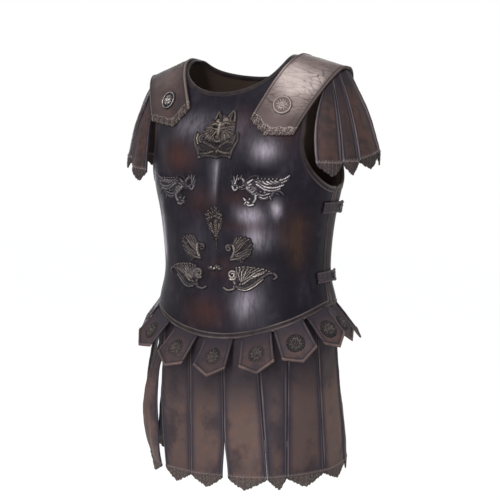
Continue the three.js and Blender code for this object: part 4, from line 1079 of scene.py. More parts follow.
# the two guards hang and have aged a little differently, and differ in painted shade and painted highlight
guards = {
    "left": {
        "crestX": 0.165, "crestHalf": 0.043, "endX": 0.1055, "endHalf": 0.0385, "innerZ": 0.666,
        "tipZ": 0.637, "tipShare": -0.18, "outerZ": 0.638, "medallion": (0.1210, 0.690),
        "material": "guard", "seed": 11, "creases": 1.0, "rollWear": 0.14, "rubAndHighlight": 1,
        "outerShade": 0.35, "lowShade": 0.65, "highShade": 0.75, "age": 0,
    },
    "right": {
        "crestX": 0.161, "crestHalf": 0.047, "endX": 0.116, "endHalf": 0.050, "innerZ": 0.690, "tipZ": 0.655,
        "tipShare": -0.34, "outerZ": 0.668, "medallion": (0.1225, 0.7045), "material": "guardRight",
        "seed": 12, "creases": 0.35, "rollWear": 0.75, "rubAndHighlight": 0.15, "outerShade": 0, "lowShade": 0.3,
        "highShade": 0, "age": 0.2,
    },
}


def guardPoint(across, raised, rear, form):
    x = lerp(np.where(rear, guard["rearX"], form["endX"]), form["crestX"], raised)
    half = lerp(np.where(rear, guard["rearHalf"], form["endHalf"]), form["crestHalf"], raised)
    x = x + across * half
    tipShare = form["tipShare"]
    inner = lerp(form["innerZ"], form["tipZ"], (across + 1) / (tipShare + 1))
    outer = lerp(form["tipZ"], form["outerZ"], (across - tipShare) / (1 - tipShare))
    endZ = np.where(across < tipShare, inner, outer)
    z = lerp(np.where(rear, crestZ(x) - guard["rearDrop"], endZ), crestZ(x), raised)
    angle = angleAt(x, z)
    return torsoPoint(np.where(rear, math.pi - angle, angle), z, ~rear)


# network of fine creases: 0 on a wall between scattered cells, more inside them
def creaseNet(u, v, seed):
    jitter = np.random.default_rng(seed).uniform(0.08, 0.92, (64, 64, 2))
    nearest, second = np.full(u.shape, 9.0), np.full(u.shape, 9.0)
    for stepU in (-1, 0, 1):
        for stepV in (-1, 0, 1):
            cellU, cellV = np.floor(u).astype(int) + stepU, np.floor(v).astype(int) + stepV
            spot = jitter[cellU % 64, cellV % 64]
            gap = np.hypot((u - cellU - spot[..., 0]) * 0.55, v - cellV - spot[..., 1])
            second = np.minimum(second, np.maximum(nearest, gap))
            nearest = np.minimum(nearest, gap)
    return second - nearest


# a guard's face: rolled edges, a lace-like end, and creases across the bend; along runs up from the front end
def guardFace(across, along, before, side, form):
    seed = form["seed"]
    u = across * guard["rearHalf"]
    roll = ridge(side - guard["rollAt"], guard["rollHalf"])
    gutter = ridge(side - guard["gutterAt"], guard["gutterHalf"])
    lace = guard["lace"] + 0.0012 * np.sin(across * 14 + seed)
    inLace = smooth(lace + 0.0012, lace - 0.0008, along)
    rim = ridge(along - lace, 0.0013)
    loops = np.sin(u * 900 + 2.2 * np.sin(along * 460 + seed)) * np.sin(along * 820 + 1.9 * np.sin(u * 430))
    netU = u / guard["creaseLength"] + 0.25 * ripple(u * 160, along * 160, seed + 1)
    netV = (-before - 0.25 * u) / guard["creaseGap"] + 60 + 0.7 * ripple(u * 110, along * 70, seed + 2)
    fine = creaseNet(netU, netV, seed)
    wide = creaseNet(netU * 0.55 + 7, netV * 0.36 + 3, seed + 5)
    patchy = smooth(-0.55, 0.6, ripple(u * 70, along * 50, seed + 3))
    wide = smooth(0.08, 0.01, wide) * (0.5 + 0.5 * patchy)
    creases = bounded(smooth(0.10, 0.02, fine) * patchy * 0.6 + wide)
    zone = smooth(0.030, 0.056, along) * smooth(0.190, 0.135, along) * smooth(0.003, 0.010, side)
    creases = creases * (zone * form["creases"] + 0.10)
    relief = guardRise["roll"] * roll + guardRise["gutter"] * gutter + guardRise["loops"] * loops * inLace
    relief = relief + guardRise["rim"] * rim + guardRise["creases"] * creases
    relief = relief + 0.0003 * ripple(u * 160, along * 160, seed + 4)
    # painted highlight on the crest, carried with the wear on the rubbed ridges
    crest = smooth(0.065, 0.115, along) * smooth(0.030, 0.075, before)
    crest = crest * smooth(0.002, 0.020, side + 0.008 * (across < 0))
    wear = roll * form["rollWear"] + rim * 0.45 + smooth(0.25, 0.9, loops) * inLace * 0.65
    wear = wear + (zone * 0.22 * (1 - creases) + crest * 1.3) * form["rubAndHighlight"]
    shade = smooth(0.030, 0.0, side) * (0.6 + form["outerShade"] * np.sign(across))
    shade = shade + smooth(0.095, 0.02, along) * form["lowShade"]
    shade = shade + smooth(0.070, 0.0, before) * form["highShade"]
    # painted shade in the lace holes, the gutter and the creases
    pit = smooth(0.0, -0.6, loops) * inLace * 0.9 + gutter * 0.95 + creases * 0.5
    return relief, {
        "edge": smooth(0.012, 0.0, side) * 0.5 * (across > 0), "wear": bounded(wear), "fringe": inLace * 0.8,
        "pit": bounded(pit), "shade": bounded(shade) * (1 - inLace), "age": form["age"] + 0 * side,
    }


def makeGuard(sideName, form):
    front = np.concatenate([np.linspace(0, 0.12, 34)[:-1], np.linspace(0.12, 1, 190)])
    across, raised = np.meshgrid(np.linspace(-1, 1, 91), np.concatenate([front, np.linspace(1, 0, 41)[1:]]))
    rear = np.broadcast_to((np.arange(len(raised)) >= len(front))[:, None], raised.shape)
    base = guardPoint(across, raised, rear, form)
    normals = gridNormals(base)
    step = np.linalg.norm(np.diff(base, axis=0), axis=-1)
    along = np.concatenate([np.zeros((1, base.shape[1])), np.cumsum(step, 0)])
    before = along[len(front) - 1] - along  # left to go to the shoulder line
    side = (1 - np.abs(across)) * guard["rearHalf"]
    tooth = 0.0034 * serration(across[0] * 0.5, form["seed"], 11)
    tooth = tooth + 0.0014 * serration(across[0], form["seed"] + 3, 17)
    fading = bounded(1 - along / 0.012)
    base = base + (fading * tooth[None])[..., None] * unit(base[0] - base[2])[None]
    relief, values = guardFace(across, along, before, side, form)
    border = np.minimum(np.minimum(side, along + 0.0002), along[-1:] - along + 0.0002)
    height = guard["lift"] + guard["thickness"] / 2
    outer, inner = slabFaces(base, normals, height, guard["thickness"], border, guard["edgeRound"], relief)
    name = f"shoulder_guard_{sideName}"
    uv = np.stack([across * guard["rearHalf"], along], -1)
    piece = slabPiece(f"{name}_leather", outer + shift, inner + shift, uv, values, mirror=sideName == "right")
    dress(piece, materials[form["material"]], name, name)


for sideName, form in guards.items():
    makeGuard(sideName, form)

# arm strips

arm = {
    "count": 5, "thickness": 0.0032, "gap": 0.0026, "bottomZ": 0.576, "bulge": 0.006, "fanX": 0.150,
    "reachY": 0.097, "columns": 44, "rows": 60, "fringeRows": 22, "fringe": 0.022, "beadAt": 0.0027,
    "beadHalf": 0.0019, "topShade": 0.045, "spread": 0.0012, "arch": 0.007, "teeth": 7, "edgeWidth": 0.008,
    "reachesHem": False,
}
# for each arm: side, reach, turns between the strips and the rise of each strip's two corners
armFans = {
    "left": (1, 0.113, [-69, -45, -27, 8, 38, 69],
             [(-0.011, -0.012), (-0.009, -0.009), (-0.006, 0.010), (0.008, 0.008), (0.006, 0.003)]),
    "right": (-1, 0.110, [-80, -54, -26, 10, 40, 69],
              [(-0.026, -0.018), (-0.003, 0.004), (0.006, 0.006), (0.004, 0.004), (0.002, 0.002)]),
}


# strips that hang less evenly, as in stripMood
armMood = {
    "arm_strip_1_left": {"pull": (-0.010, 0)}, "arm_strip_1_right": {"pull": (0, -0.006), "late": 0.16},
    "arm_strip_2_right": {"late": 0.08},
}


def fanPoint(turn, reach, rise):
    turn = math.radians(turn)
    x = arm["fanX"] + reach * math.cos(turn)
    return np.array([x, arm["reachY"] * math.sin(turn), arm["bottomZ"] + rise]) + shift


def fanOut(turn):
    return unit(np.array([math.cos(math.radians(turn)), math.sin(math.radians(turn)), 0]))


def makeArmStrips():
    hinges = [np.array(joints[f"arm_strip_{k + 1}_left"]["pos_m"], float) for k in range(arm["count"])]
    for k in range(arm["count"]):
        along = -unit(np.array(joints[f"arm_strip_{k + 1}_left"]["axis"], float))
        near = hinges[k + 1] if k + 1 < arm["count"] else hinges[k - 1]
        half = np.linalg.norm(near - hinges[k]) / 2 - arm["gap"] / 2
        for sideName, (side, reach, turns, rises) in armFans.items():
            flip = np.array([side, 1, 1])
            low, high = fanPoint(turns[k], reach, rises[k][0]), fanPoint(turns[k + 1], reach, rises[k][1])
            low, high = spreadApart(low, high, -arm["gap"] / 2)
            name = f"arm_strip_{k + 1}_{sideName}"
            ends = [(hinges[k] - along * half) * flip, (hinges[k] + along * half) * flip]
            lows, outs = [low * flip, high * flip], [fanOut(turns[k]) * flip, fanOut(turns[k + 1]) * flip]
            if side < 0:
                ends, lows, outs = ends[::-1], lows[::-1], outs[::-1]
            makeStrip(name, *ends, *lows, outs, arm, 500 + 13 * k + side, materials["arm"],
                      armMood.get(name, {}))


makeArmStrips()
print("shoulder guards and arm strips made")

# side straps

sideStrap = {
    "levels": {"upper": 0.508, "lower": 0.378}, "height": 0.021, "thickness": 0.003, "front": 0.028,
    "rear": 0.044, "lift": 0.007, "room": 0.0021, "studY": 0.022, "hole": 0.0056, "edgeRound": 0.0018,
    "rivets": {"Head radius": 0.0022, "Head height": 0.0011, "Post radius": 0.0010, "Post height": 0.0001,
               "Wear": 0.55},
    "studs": {"Head radius": 0.0042, "Head height": 0.0013, "Post radius": 0.0026, "Post height": 0.0076},
}


def sectionX(y, z):
    power = shell["sectionPower"]
    depth = np.where(y < 0, shell["frontDepth"] * sectionShare(z, 2), shell["backDepth"] * sectionShare(z, 3))
    along = np.maximum(np.abs(y) - shell["seamHalf"], 0) / (depth - shell["seamHalf"])
    return shell["halfWidth"] * sectionShare(z, 1) * (1 - along ** power) ** (1 / power)


def makeSideStrap(name, z, mirror, seed):
    low, high = -shell["seamHalf"] - sideStrap["front"], shell["seamHalf"] + sideStrap["rear"]
    u, v = np.meshgrid(np.linspace(0, 1, 90), np.linspace(-0.5, 0.5, 27))
    ragged = 1 - 0.10 * (0.5 + serration(v + 0.5, seed, 3)) - 0.04 * (1 - np.cos(v * 9)) * 0.5
    y = low + (high - low) * u * np.where(u > 0.5, 1 - (1 - ragged) * (u - 0.5) * 2, 1)
    heights = z + v * sideStrap["height"] * (1 + 0.16 * ridge(u - 0.86, 0.12))
    past = np.maximum(y - shell["seamHalf"], 0) / sideStrap["rear"]
    lift = sideStrap["lift"] * past ** 2
    base = np.stack([sectionX(y, heights) + lift, y, heights], -1)
    normals = gridNormals(base)
    side = (0.5 - np.abs(v)) * sideStrap["height"]
    ends = np.minimum(y - low, (high - low) * ragged + low - y)
    border = np.minimum(side, np.maximum(ends, 0)) + 0.0002
    bead = ridge(side - 0.002, 0.0014)
    frill = smooth(0.80, 0.86, u)
    relief = 0.0006 * bead + 0.0003 * ripple(y * 300, heights * 300, seed)
    relief = relief + frill * 0.0008 * np.sin(y * 900 + seed) * np.sin(heights * 800)
    middle = sideStrap["room"] + sideStrap["thickness"] / 2
    outer, inner = slabFaces(base, normals, middle, sideStrap["thickness"], border, sideStrap["edgeRound"],
                             relief)
    far = np.hypot(y - sideStrap["studY"], heights - z)
    nearest = np.minimum(np.minimum(far[:-1, :-1], far[1:, :-1]), np.minimum(far[:-1, 1:], far[1:, 1:]))
    keep = nearest > sideStrap["hole"] * 0.86
    # painted shadow round the stud hole, under the stud
    values = {
        "edge": smooth(0.007, 0.002, side), "wear": bead * 0.5, "pit": smooth(0.0072, 0.0056, far) * 0.8,
        "fringe": frill * 0.5, "shade": 0.45 + 0 * side, "age": 0.15 + 0 * side,
    }
    uv = np.stack([y, heights], -1)
    piece = slabPiece(f"{name}_leather", outer + shift, inner + shift, uv, values, keep, mirror)
    dress(piece, materials["tab"], name, name)
    seat = np.abs(y[0] - low - 0.005).argmin()
    side = [-1 if mirror else 1, 1, 1]
    rivets, ways = outer[[8, 18], seat] * side + shift, normals[[8, 18], seat] * side
    piece = repeatPiece(f"{name}_rivets", repeats["studs"], rivets, sideStrap["rivets"], materials["bronze"],
                        ways)
    dress(piece, None, name)


for k, (level, z) in enumerate(sideStrap["levels"].items()):
    makeSideStrap(f"side_strap_{level}_left", z, False, 31 + k)
    makeSideStrap(f"side_strap_{level}_right", z, True, 41 + k)


def makeStuds():
    spots, ways = [], []
    y = np.full((3, 3), sideStrap["studY"]) + np.array([-0.001, 0, 0.001])
    for z in sideStrap["levels"].values():
        level = np.full((3, 3), z) + np.array([[-0.001], [0], [0.001]])
        grid = np.stack([sectionX(y, level), y, level], -1)
        way = gridNormals(grid)[1, 1]
        for side in (1, -1):
            spots.append(grid[1, 1] * [side, 1, 1] + shift)
            ways.append(way * [side, 1, 1])
    piece = repeatPiece("closing_studs", repeats["studs"], spots, sideStrap["studs"], materials["bronze"],
                        ways)
    dress(piece, None, "shell")


makeStuds()
print("side straps and studs made")

# applied ornaments: strokes in millimetres from the ornament's middle, each with its end radii and height

def curve(points, first, last, height=1.6):
    points = np.array(points, float)
    if len(points) > 2:  # a smooth run through the given points
        ends = np.concatenate([[2 * points[0] - points[1]], points, [2 * points[-1] - points[-2]]])
        t = np.linspace(0, 1, 6)[:-1, None]
        runs = []
        for a, b, c, d in zip(ends, ends[1:], ends[2:], ends[3:]):
            cubic = (3 * b - a - 3 * c + d) * t ** 3
            runs.append(0.5 * (2 * b + (c - a) * t + (2 * a - 5 * b + 4 * c - d) * t ** 2 + cubic))
        points = np.concatenate([*runs, points[-1:]])
    return points, first, last, height


def spiral(x, z, radius, start, turns, first, last, height=1.8, inner=0.25):
    t = np.linspace(0, 1, 26)
    turn = math.radians(start) + t * turns * math.tau
    reach = radius * lerp(1, inner, t)
    return np.stack([x + reach * np.cos(turn), z + reach * np.sin(turn)], 1), first, last, height


def dot(x, z, radius, height=1.8):
    return np.array([[x, z], [x + 0.01, z]], float), radius, radius, height


def fan(x, z, tips, first, last, height=1.5, bend=0.12):
    made = []
    for tipX, tipZ in tips:
        halfX, halfZ = (x + tipX) / 2 + (tipZ - z) * bend, (z + tipZ) / 2 - (tipX - x) * bend
        made.append(curve([(x, z), (halfX, halfZ), (tipX, tipZ)], first, last, height))
    return made


# a filled shape from its corners, rising over the given distance from its border
def patch(corners, rise, height=1.4):
    return np.array([*corners, corners[0]], float), None, rise, height


def beads(path, count, radius, height=2.8):
    points = curve(path, 1, 1)[0]
    places = [points[round(k * (len(points) - 1) / (count - 1))] for k in range(count)]
    return [dot(x, z, radius, height) for x, z in places]


def bothSides(strokes):
    made = []
    for points, first, last, height in strokes:
        made += [(points, first, last, height), (points * [-1, 1], first, last, height)]
    return made


def insideShape(here, corners):
    inside = np.zeros(len(here), bool)
    for (ax, az), (bx, bz) in zip(corners, corners[1:]):
        crosses = (az > here[:, 1]) != (bz > here[:, 1])
        inside ^= crosses & (here[:, 0] < ax + (here[:, 1] - az) * (bx - ax) / (bz - az + 1e-12))
    return inside


# paints the strokes in order, each standing over the earlier ones with a cut line round it
def paintRelief(x, z, strokes, base):
    canvas = np.full(x.shape, -1.0)
    for points, first, last, height in strokes:
        filled = first is None
        thick = last if filled else max(first, last)
        reach = 1 if filled else thick * 1.2 + 0.8
        low, high = points.min(0) - reach, points.max(0) + reach
        near = (x > low[0]) & (x < high[0]) & (z > low[1]) & (z < high[1])
        if not near.any():
            continue
        here = np.stack([x[near], z[near]], -1)
        best, arc, run = np.full(len(here), 99.0), np.zeros(len(here)), 0.0
        parts = len(points) - 1
        for k in range(parts):
            a, way = points[k], points[k + 1] - points[k]
            t = bounded(((here - a) @ way) / max(way @ way, 1e-9))
            distance = np.linalg.norm(here - a - t[:, None] * way, axis=1)
            if not filled:
                distance = distance / lerp(first, last, (k + t) / parts)
            arc = np.where(distance < best, run + t * np.linalg.norm(way), arc)
            best = np.minimum(best, distance)
            run += np.linalg.norm(way)
        if filled:
            best = np.where(insideShape(here, points), np.maximum(1 - best / last, 0), 1 + best / last)
        old = canvas[near]
        if height < 0:  # a hollow
            sunk = np.maximum(old + height * (1 - best ** 2), 0.2)
            canvas[near] = np.where((best < 1) & (old > -0.5), sunk, old)
            continue
        cut = bounded((best - 1) * thick / 0.6)
        carved = np.where(old > -0.5, np.minimum(old, lerp(base * 0.35, old, cut)), old)
        notch = 1 if filled or run < 7 else 1 - 0.15 * (1 + np.cos(arc * 2.6)) * np.minimum(1, best * 1.6)
        crown = base + height * np.sqrt(bounded(1 - best ** 2)) * notch
        canvas[near] = np.where(best < 1, np.maximum(crown, old * 0.6), carved)
    return canvas


def softened(grid):
    padded = np.pad(grid, 1, mode="edge")
    upright = padded[1:-1, 1:-1] * 2 + padded[:-2, 1:-1] + padded[2:, 1:-1]
    return (upright + padded[1:-1, :-2] + padded[1:-1, 2:]) / 6


def grown(mask):
    padded = np.pad(mask, 1)
    return mask | padded[:-2, 1:-1] | padded[2:, 1:-1] | padded[1:-1, :-2] | padded[1:-1, 2:]


# a thin dark web closes the narrow openings of a casting, and its dark border round the shape is painted
# shadow: cells grown and taken back
web = {"grown": 5, "shrunk": 3, "height": 0.3, "depth": 0.0009}


# relief piece over a surface given by place(x, z) -> points and normals, sizes in millimetres
def reliefPiece(name, body, node, strokes, size, place, look, base=0.9, cell=0.55, bulge=None, leather=None):
    x, z = np.meshgrid(*(np.linspace(-length / 2, length / 2, int(length / cell) + 1) for length in size))
    canvas = paintRelief(x, z, strokes, base)
    drawn = canvas > -0.5
    filling = drawn
    for _ in range(web["grown"]):
        filling = grown(filling)
    for _ in range(web["shrunk"]):
        filling = ~grown(~filling)
    canvas = np.where(filling & ~drawn, web["height"], canvas)
    shown = canvas > -0.5
    keep = shown[:-1, :-1] | shown[:-1, 1:] | shown[1:, :-1] | shown[1:, 1:]
    tall = softened(np.where(shown, canvas, 0.15))
    top = np.percentile(tall[drawn], 88)
    heap = bulge(x, z) if bulge else 0
    points, normals = place(x, z)
    grain = 0.14 * ripple(x * 1.3, z * 1.3, 17) + 0.08 * ripple(x * 4, z * 4, 18)
    outer = points + normals * (np.where(shown, tall + heap + grain * (tall > 0.6), -0.7) / 1000)[..., None]
    glow, tone = look
    relief = np.where(shown, bounded((tall - 0.35) / (top - 0.35)) ** 1.35 * glow, 0)
    values = {"relief": relief, "tone": tone + 0 * x}
    if leather:  # pressed into the leather instead of cast
        # darker in the low parts of the relief: painted shade
        values = {"wear": relief * 0.8, "fringe": 0.2 + 0 * x, "pit": bounded(0.75 - relief * 2.5),
                  "shade": 0.35 + 0 * x}
    uv = np.stack([x, z], -1) / 1000
    piece = slabPiece(name, outer, points - normals * web["depth"], uv, values, keep)
    dress(piece, materials[leather or "bronze"], body, node)


def onBreast(centreX, centreZ):
    def place(x, z):
        acrossX, upZ = (centreX + x) / 1000, (centreZ + z) / 1000
        angle = angleAt(acrossX, upZ)
        normals = torsoNormal(angle, upZ, True)
        lift = formLift(acrossX, upZ, True)[..., None]
        return torsoPoint(angle, upZ, True) + normals * lift + shift, normals
    return place


wolfHead = [
    # scrolled frame
    patch([(-45, 4), (-47, -10), (-42, -22), (-36, -32), (-33, -44), (-14, -41), (0, -43), (16, -41),
        (33, -44), (36, -32), (41, -22), (46, -10), (45, 4), (34, -3), (20, -14), (0, -19), (-20, -13),
        (-34, -2)], 4, 0.7),
    curve([(-45, 4), (-46, -8), (-42, -19), (-36, -29), (-32, -41)], 2.4, 3.6, 2.6),
    curve([(-40, 1), (-40.5, -8), (-37, -17)], 3.2, 2.0, 3.8),
    curve([(-37, -22), (-30, -28), (-20, -30)], 2.4, 1.4, 2.2),
    curve([(-30, -19), (-22, -22), (-14, -20)], 2.0, 1.2, 2.0),
    spiral(-29, -8, 8.0, 110, 1.5, 2.3, 1.2, 3.0),
    curve([(44, 2), (46.5, -10), (41, -21), (36, -31), (33, -41)], 2.4, 3.2, 2.4),
    curve([(40, -2), (40, -10), (36, -18)], 2.6, 1.6, 2.8), spiral(30, -9, 8.0, 70, -1.5, 2.1, 1.1, 2.8),
    curve([(36, -24), (28, -27), (20, -26)], 2.2, 1.3, 2.0),
    curve([(-33, -40), (-16, -38), (0, -41), (16, -38), (33, -40)], 2.6, 2.6, 2.2),
    curve([(26, -13), (12, -19), (-2, -28), (-18, -34), (-29, -35)], 2.9, 2.5, 3.2),
    *beads([(24, -14), (12, -19), (-2, -28), (-27, -35)], 9, 1.2, 4.6),
    curve([(-26, -14), (-14, -20), (0, -28), (16, -33), (31, -34)], 2.9, 2.6, 3.4),
    *beads([(-24, -15), (-14, -20), (0, -28), (29, -34)], 9, 1.2, 4.8), dot(-1, -31, 3.6, 4.2),
    dot(-32, -41, 3.4, 3.2), dot(33, -41, 3.4, 3.0),
    # head, mane and ears
    patch([(-24, 18), (-16, 28), (-9, 33), (-4, 44), (2, 35), (9, 37), (17, 35), (24, 41), (31, 45),
        (35, 26), (38, 10), (36, -3), (22, -11), (8, -17), (-8, -16), (-22, -10), (-31, 3)], 9, 2.6),
    *fan(-4, 8, [(-31, 4), (-30, -2), (-25, -8), (-17, -13), (-27, 12)], 2.6, 1.0, 3.6, 0.06),
    *fan(9, 9, [(37, 6), (35, -1), (30, -7), (21, -12), (36, 13)], 2.8, 1.0, 3.6, -0.06),
    *fan(-6, 14, [(-24, 18), (-20, 22), (-16, 27)], 2.2, 0.9, 3.0, 0.05),
    *fan(20, 16, [(36, 19), (35, 25)], 2.2, 0.9, 3.0, -0.05),
    *[curve([(k, 27), (k * 1.1 - 0.3, 34)], 1.7, 0.9, 3.2) for k in (1.5, 5.5, 9.5, 13.5)],
    curve([(-11, 27), (-7, 35), (-4, 43)], 2.2, 0.9, 3.8),
    curve([(0, 31), (-2, 36), (-4, 42)], 1.8, 0.8, 3.4), curve([(-5.5, 29), (-4.5, 37)], 1.9, 0.8, -3.4),
    curve([(20, 31), (25, 38), (31, 44)], 2.2, 0.9, 3.8),
    curve([(34, 24), (33.5, 34), (31, 43)], 2.4, 0.9, 4.0), curve([(28, 27), (30, 38)], 2.8, 1.0, -3.6),
    dot(-4, 23, 6.0, 5.0), dot(16, 25, 6.6, 5.2), curve([(6, 34), (6, 22)], 1.5, 1.8, -3.0),
    curve([(-15, 17), (-8, 18.5), (1, 15)], 2.0, 2.6, 5.6),
    curve([(26, 18), (18, 20), (10, 16)], 2.0, 2.6, 5.8), dot(-10, 13.5, 3.0, -4.6),
    dot(17, 14.0, 2.6, -4.0), dot(-8.5, 13.6, 1.0, 4.6), dot(16.4, 13.6, 1.2, 5.4),
    curve([(5, 19), (3, 8), (-1, -2)], 4.4, 5.6, 6.0), curve([(-5.6, 2), (-8, -6)], 1.8, 2.2, -3.0),
    curve([(7, 2), (7, -7)], 1.8, 2.2, -3.0), curve([(-5, -6), (1.5, -6)], 2.6, 2.6, 8.2),
    dot(-4.4, -8.2, 1.0, -3.0), dot(1.2, -8.2, 1.0, -3.0),
    curve([(-8, -12), (-2, -14), (6, -12)], 1.9, 1.9, 4.6),
    *[dot(x, z, 1.3, 4.8) for x, z in ((12, 6), (17, 3), (22, 7), (14, 0), (26, 2), (-12, 5), (-16, 0),
        (-20, 5))],
]
wingedBeast = [
    patch([(-22, 12), (-14, 17), (-4, 19), (12, 20), (28, 16), (42, 19), (50, 26), (50, 17), (42, 9),
        (34, 4), (36, -4), (30, -8), (22, -14), (10, -17), (0, -14), (-7, -18), (-12, -27), (-24, -27),
        (-28, -17), (-20, -16), (-14, -8), (-20, -2)], 3, 0.6),
    curve([(-27, 9), (-23, 18), (-12, 24.5), (-2, 24)], 1.4, 1.6, 1.4),
    curve([(-38, 3), (-30, 4), (-20, 6)], 3.4, 4.2, 1.6),
    spiral(-36, 12, 8.6, -60, 0.95, 3.2, 2.2, 2.6, 0.86),
    curve([(-49, 7), (-45, -1), (-38, 3)], 2.8, 2.4, 2.8),
    curve([(-48, 24), (-46, 15), (-45, 8)], 1.4, 2.8, 2.8),
    curve([(-41, 26), (-42.5, 18), (-44, 10)], 1.2, 2.0, 3.0), dot(-39, 3.6, 2.4, 3.8),
    curve([(-51, 16), (-48, 9)], 2.0, 1.8, 2.2), curve([(-33, 26), (-35, 20)], 1.2, 2.0, 2.2),
    curve([(22, -4), (30, -1), (37, -3), (41, -8)], 3.4, 1.6, 2.0),
    curve([(24, -3), (31, 2), (37, 1)], 2.0, 1.2, 2.2), curve([(30, -6), (35, -9)], 1.8, 1.0, 1.8),
    curve([(-6, 0), (0, -11), (9, -15), (20, -11), (25, -5)], 5.2, 3.2, 1.8),
    curve([(-3, -6), (7, -9.5), (19, -6)], 2.6, 2.0, 2.8),
    curve([(1, -12), (10, -14.5), (19, -10)], 1.5, 1.2, 3.4), dot(11, -4.0, 2.4, 3.0),
    dot(4, -3, 2.0, 2.6), dot(17, -2.6, 2.0, 2.6), curve([(19, -11), (22, -18)], 2.2, 1.0, 2.6),
    curve([(-21, 8), (-14, 3), (-8, 1)], 7.6, 6.4, 2.4),
    curve([(-20, 12), (-13, 17), (-6, 18)], 2.6, 2.0, 3.8),
    curve([(-21, 5), (-15, 9), (-9, 11)], 2.0, 1.6, 4.0),
    curve([(-6, 13), (8, 14), (26, 12), (40, 15), (48, 23)], 7.0, 3.2, 1.8),
    curve([(-5, 15), (6, 13), (14, 10)], 5.2, 2.4, 3.0),
    curve([(-6, 14), (10, 5.5), (28, 4), (41, 9)], 3.6, 2.2, 2.8),
    curve([(-4, 10), (12, 0.5), (26, -1), (36, 3)], 2.8, 1.8, 2.8),
    *[curve([(6 + 7 * k, 15 + 0.4 * k), (13 + 7 * k, 10 + k), (20 + 5.6 * k, 10 + 1.8 * k)],
        2.3, 1.1, 3.4) for k in range(5)],
    *[dot(-3 + 6.6 * k, 20.5 - 0.7 * k + 0.10 * k * k, 1.8, 3.8) for k in range(8)],
    curve([(35, 17), (43, 20), (50, 26)], 2.6, 1.6, 3.6), curve([(38, 12), (46, 17)], 2.0, 1.2, 3.0),
    curve([(-20, 3), (-13, -3), (-6, -9), (-5, -14)], 4.2, 3.6, 3.8),
    *[curve([(-20 + 3.6 * k, 1.5 - 3.2 * k), (-14 + 3.6 * k, 4.8 - 3.2 * k)],
        1.2, 1.2, 5.4) for k in range(5)],
    curve([(-5, -9), (-6, -17), (-12, -25)], 3.6, 2.6, 3.0),
    curve([(-10, -26), (-18, -27.5), (-25, -23)], 3.0, 2.4, 2.8),
    curve([(-27, -15), (-23, -20), (-18, -23)], 2.4, 2.0, 3.4), dot(-16, -16, 2.6, 2.8),
    curve([(-23, -21), (-26, -25)], 1.8, 1.4, 3.2), curve([(-32, 0), (-24, 2)], 1.2, 1.2, 2.4),
    curve([(-31, 7), (-24, 9)], 1.2, 1.2, 2.6),
]
palmetteSide = [
    curve([(-3, -13), (-11, 0), (-14, 14)], 2.2, 3.4, 2.2),
    curve([(-2, -14), (-7, -4), (-9, 8)], 2.4, 3.0, 2.8), curve([(-13, 13), (-17, 19)], 2.6, 1.4, 2.6),
    *fan(0, 14, [(-17, 24), (-13, 32), (-7, 38)], 3.0, 1.9, 2.4, 0.06),
    *[dot(-4.4 - 4.0 * k, 29.5 - 1.4 * k, 1.9, 3.8) for k in range(4)],
    *[dot(-3 - 4.2 * k, 21.5 - 1.4 * k, 2.1, 3.6) for k in range(4)], dot(-12, 32, 1.7, 3.4),
    dot(-6, 36.5, 1.8, 3.6), curve([(-3, -14), (-7, -20)], 1.8, 1.0, 2.0),
    curve([(-8, -2), (-11.5, 6)], 1.3, 1.5, 3.8), dot(-14.5, 8, 1.5, 3.0), dot(-12, -1, 1.4, 2.8),
]
palmetteStrokes = [
    patch([(-15, 26), (-9, 37), (0, 41), (9, 37), (15, 26), (15, 12), (12, -2), (6, -14), (0, -22),
        (-6, -14), (-12, -2), (-15, 12)], 3, 0.6),
    *bothSides(palmetteSide), *fan(0, 14, [(0, 40)], 3.2, 2.0, 2.6), dot(0, 32, 2.2, 4.2),
    curve([(0, 12), (0, 0), (0, -13)], 6.0, 3.6, 3.4),
    *[curve([(-3.8, 11 - 4.2 * k), (0, 8.4 - 4.2 * k), (3.8, 11 - 4.2 * k)],
        1.2, 1.2, 4.4) for k in range(5)],
    dot(0, 22, 2.6, 4.6), curve([(-3.4, -15), (3.4, -15)], 1.6, 1.6, 3.0), dot(0, -20, 2.4, 3.2),
    curve([(0, -24), (-0.5, -39)], 1.7, 1.2, 2.2), dot(-0.4, -38, 1.8, 2.6),
]
upperLeaf = [
    patch([(-16, -20), (-14, -6), (-8, 8), (-2, 23), (10, 23), (24, 21), (26, 8), (24, -8), (12, -18),
        (-4, -15)], 3, 0.6),
    spiral(-19, 2, 6.4, 60, 1.25, 2.3, 1.5, 2.6), curve([(-14, 8), (-9, 10), (-6, 5)], 2.2, 2.4, 2.6),
    *fan(-10, -8, [(-2, 22), (6, 23), (14, 22), (22, 20)], 3.4, 2.4, 2.4, -0.10),
    *fan(-10, -11, [(25, 12), (25, 3), (22, -6)], 3.2, 2.2, 2.4, 0.10),
    *fan(-12, -16, [(18, -11), (11, -16)], 2.8, 1.8, 2.2, 0.12),
    *beads([(-2, 21), (8, 22), (22, 18), (25, 4), (20, -8)], 10, 1.7, 3.6),
    *beads([(-2, 13), (8, 14), (16, 8), (16, -2)], 7, 1.4, 3.4),
    curve([(-10, 8), (-8, -4), (-15, -19)], 3.0, 3.2, 3.8),
    curve([(-15, -19), (-4, -17), (5, -14)], 2.4, 1.6, 3.2), spiral(6, -21, 3.8, 100, 0.9, 1.5, 1.0, 2.2),
    curve([(-6, -6), (4, 4), (14, 16)], 1.2, 0.9, 3.8),
    curve([(-7, -10), (6, -4), (19, 2)], 1.2, 0.9, 3.8),
]
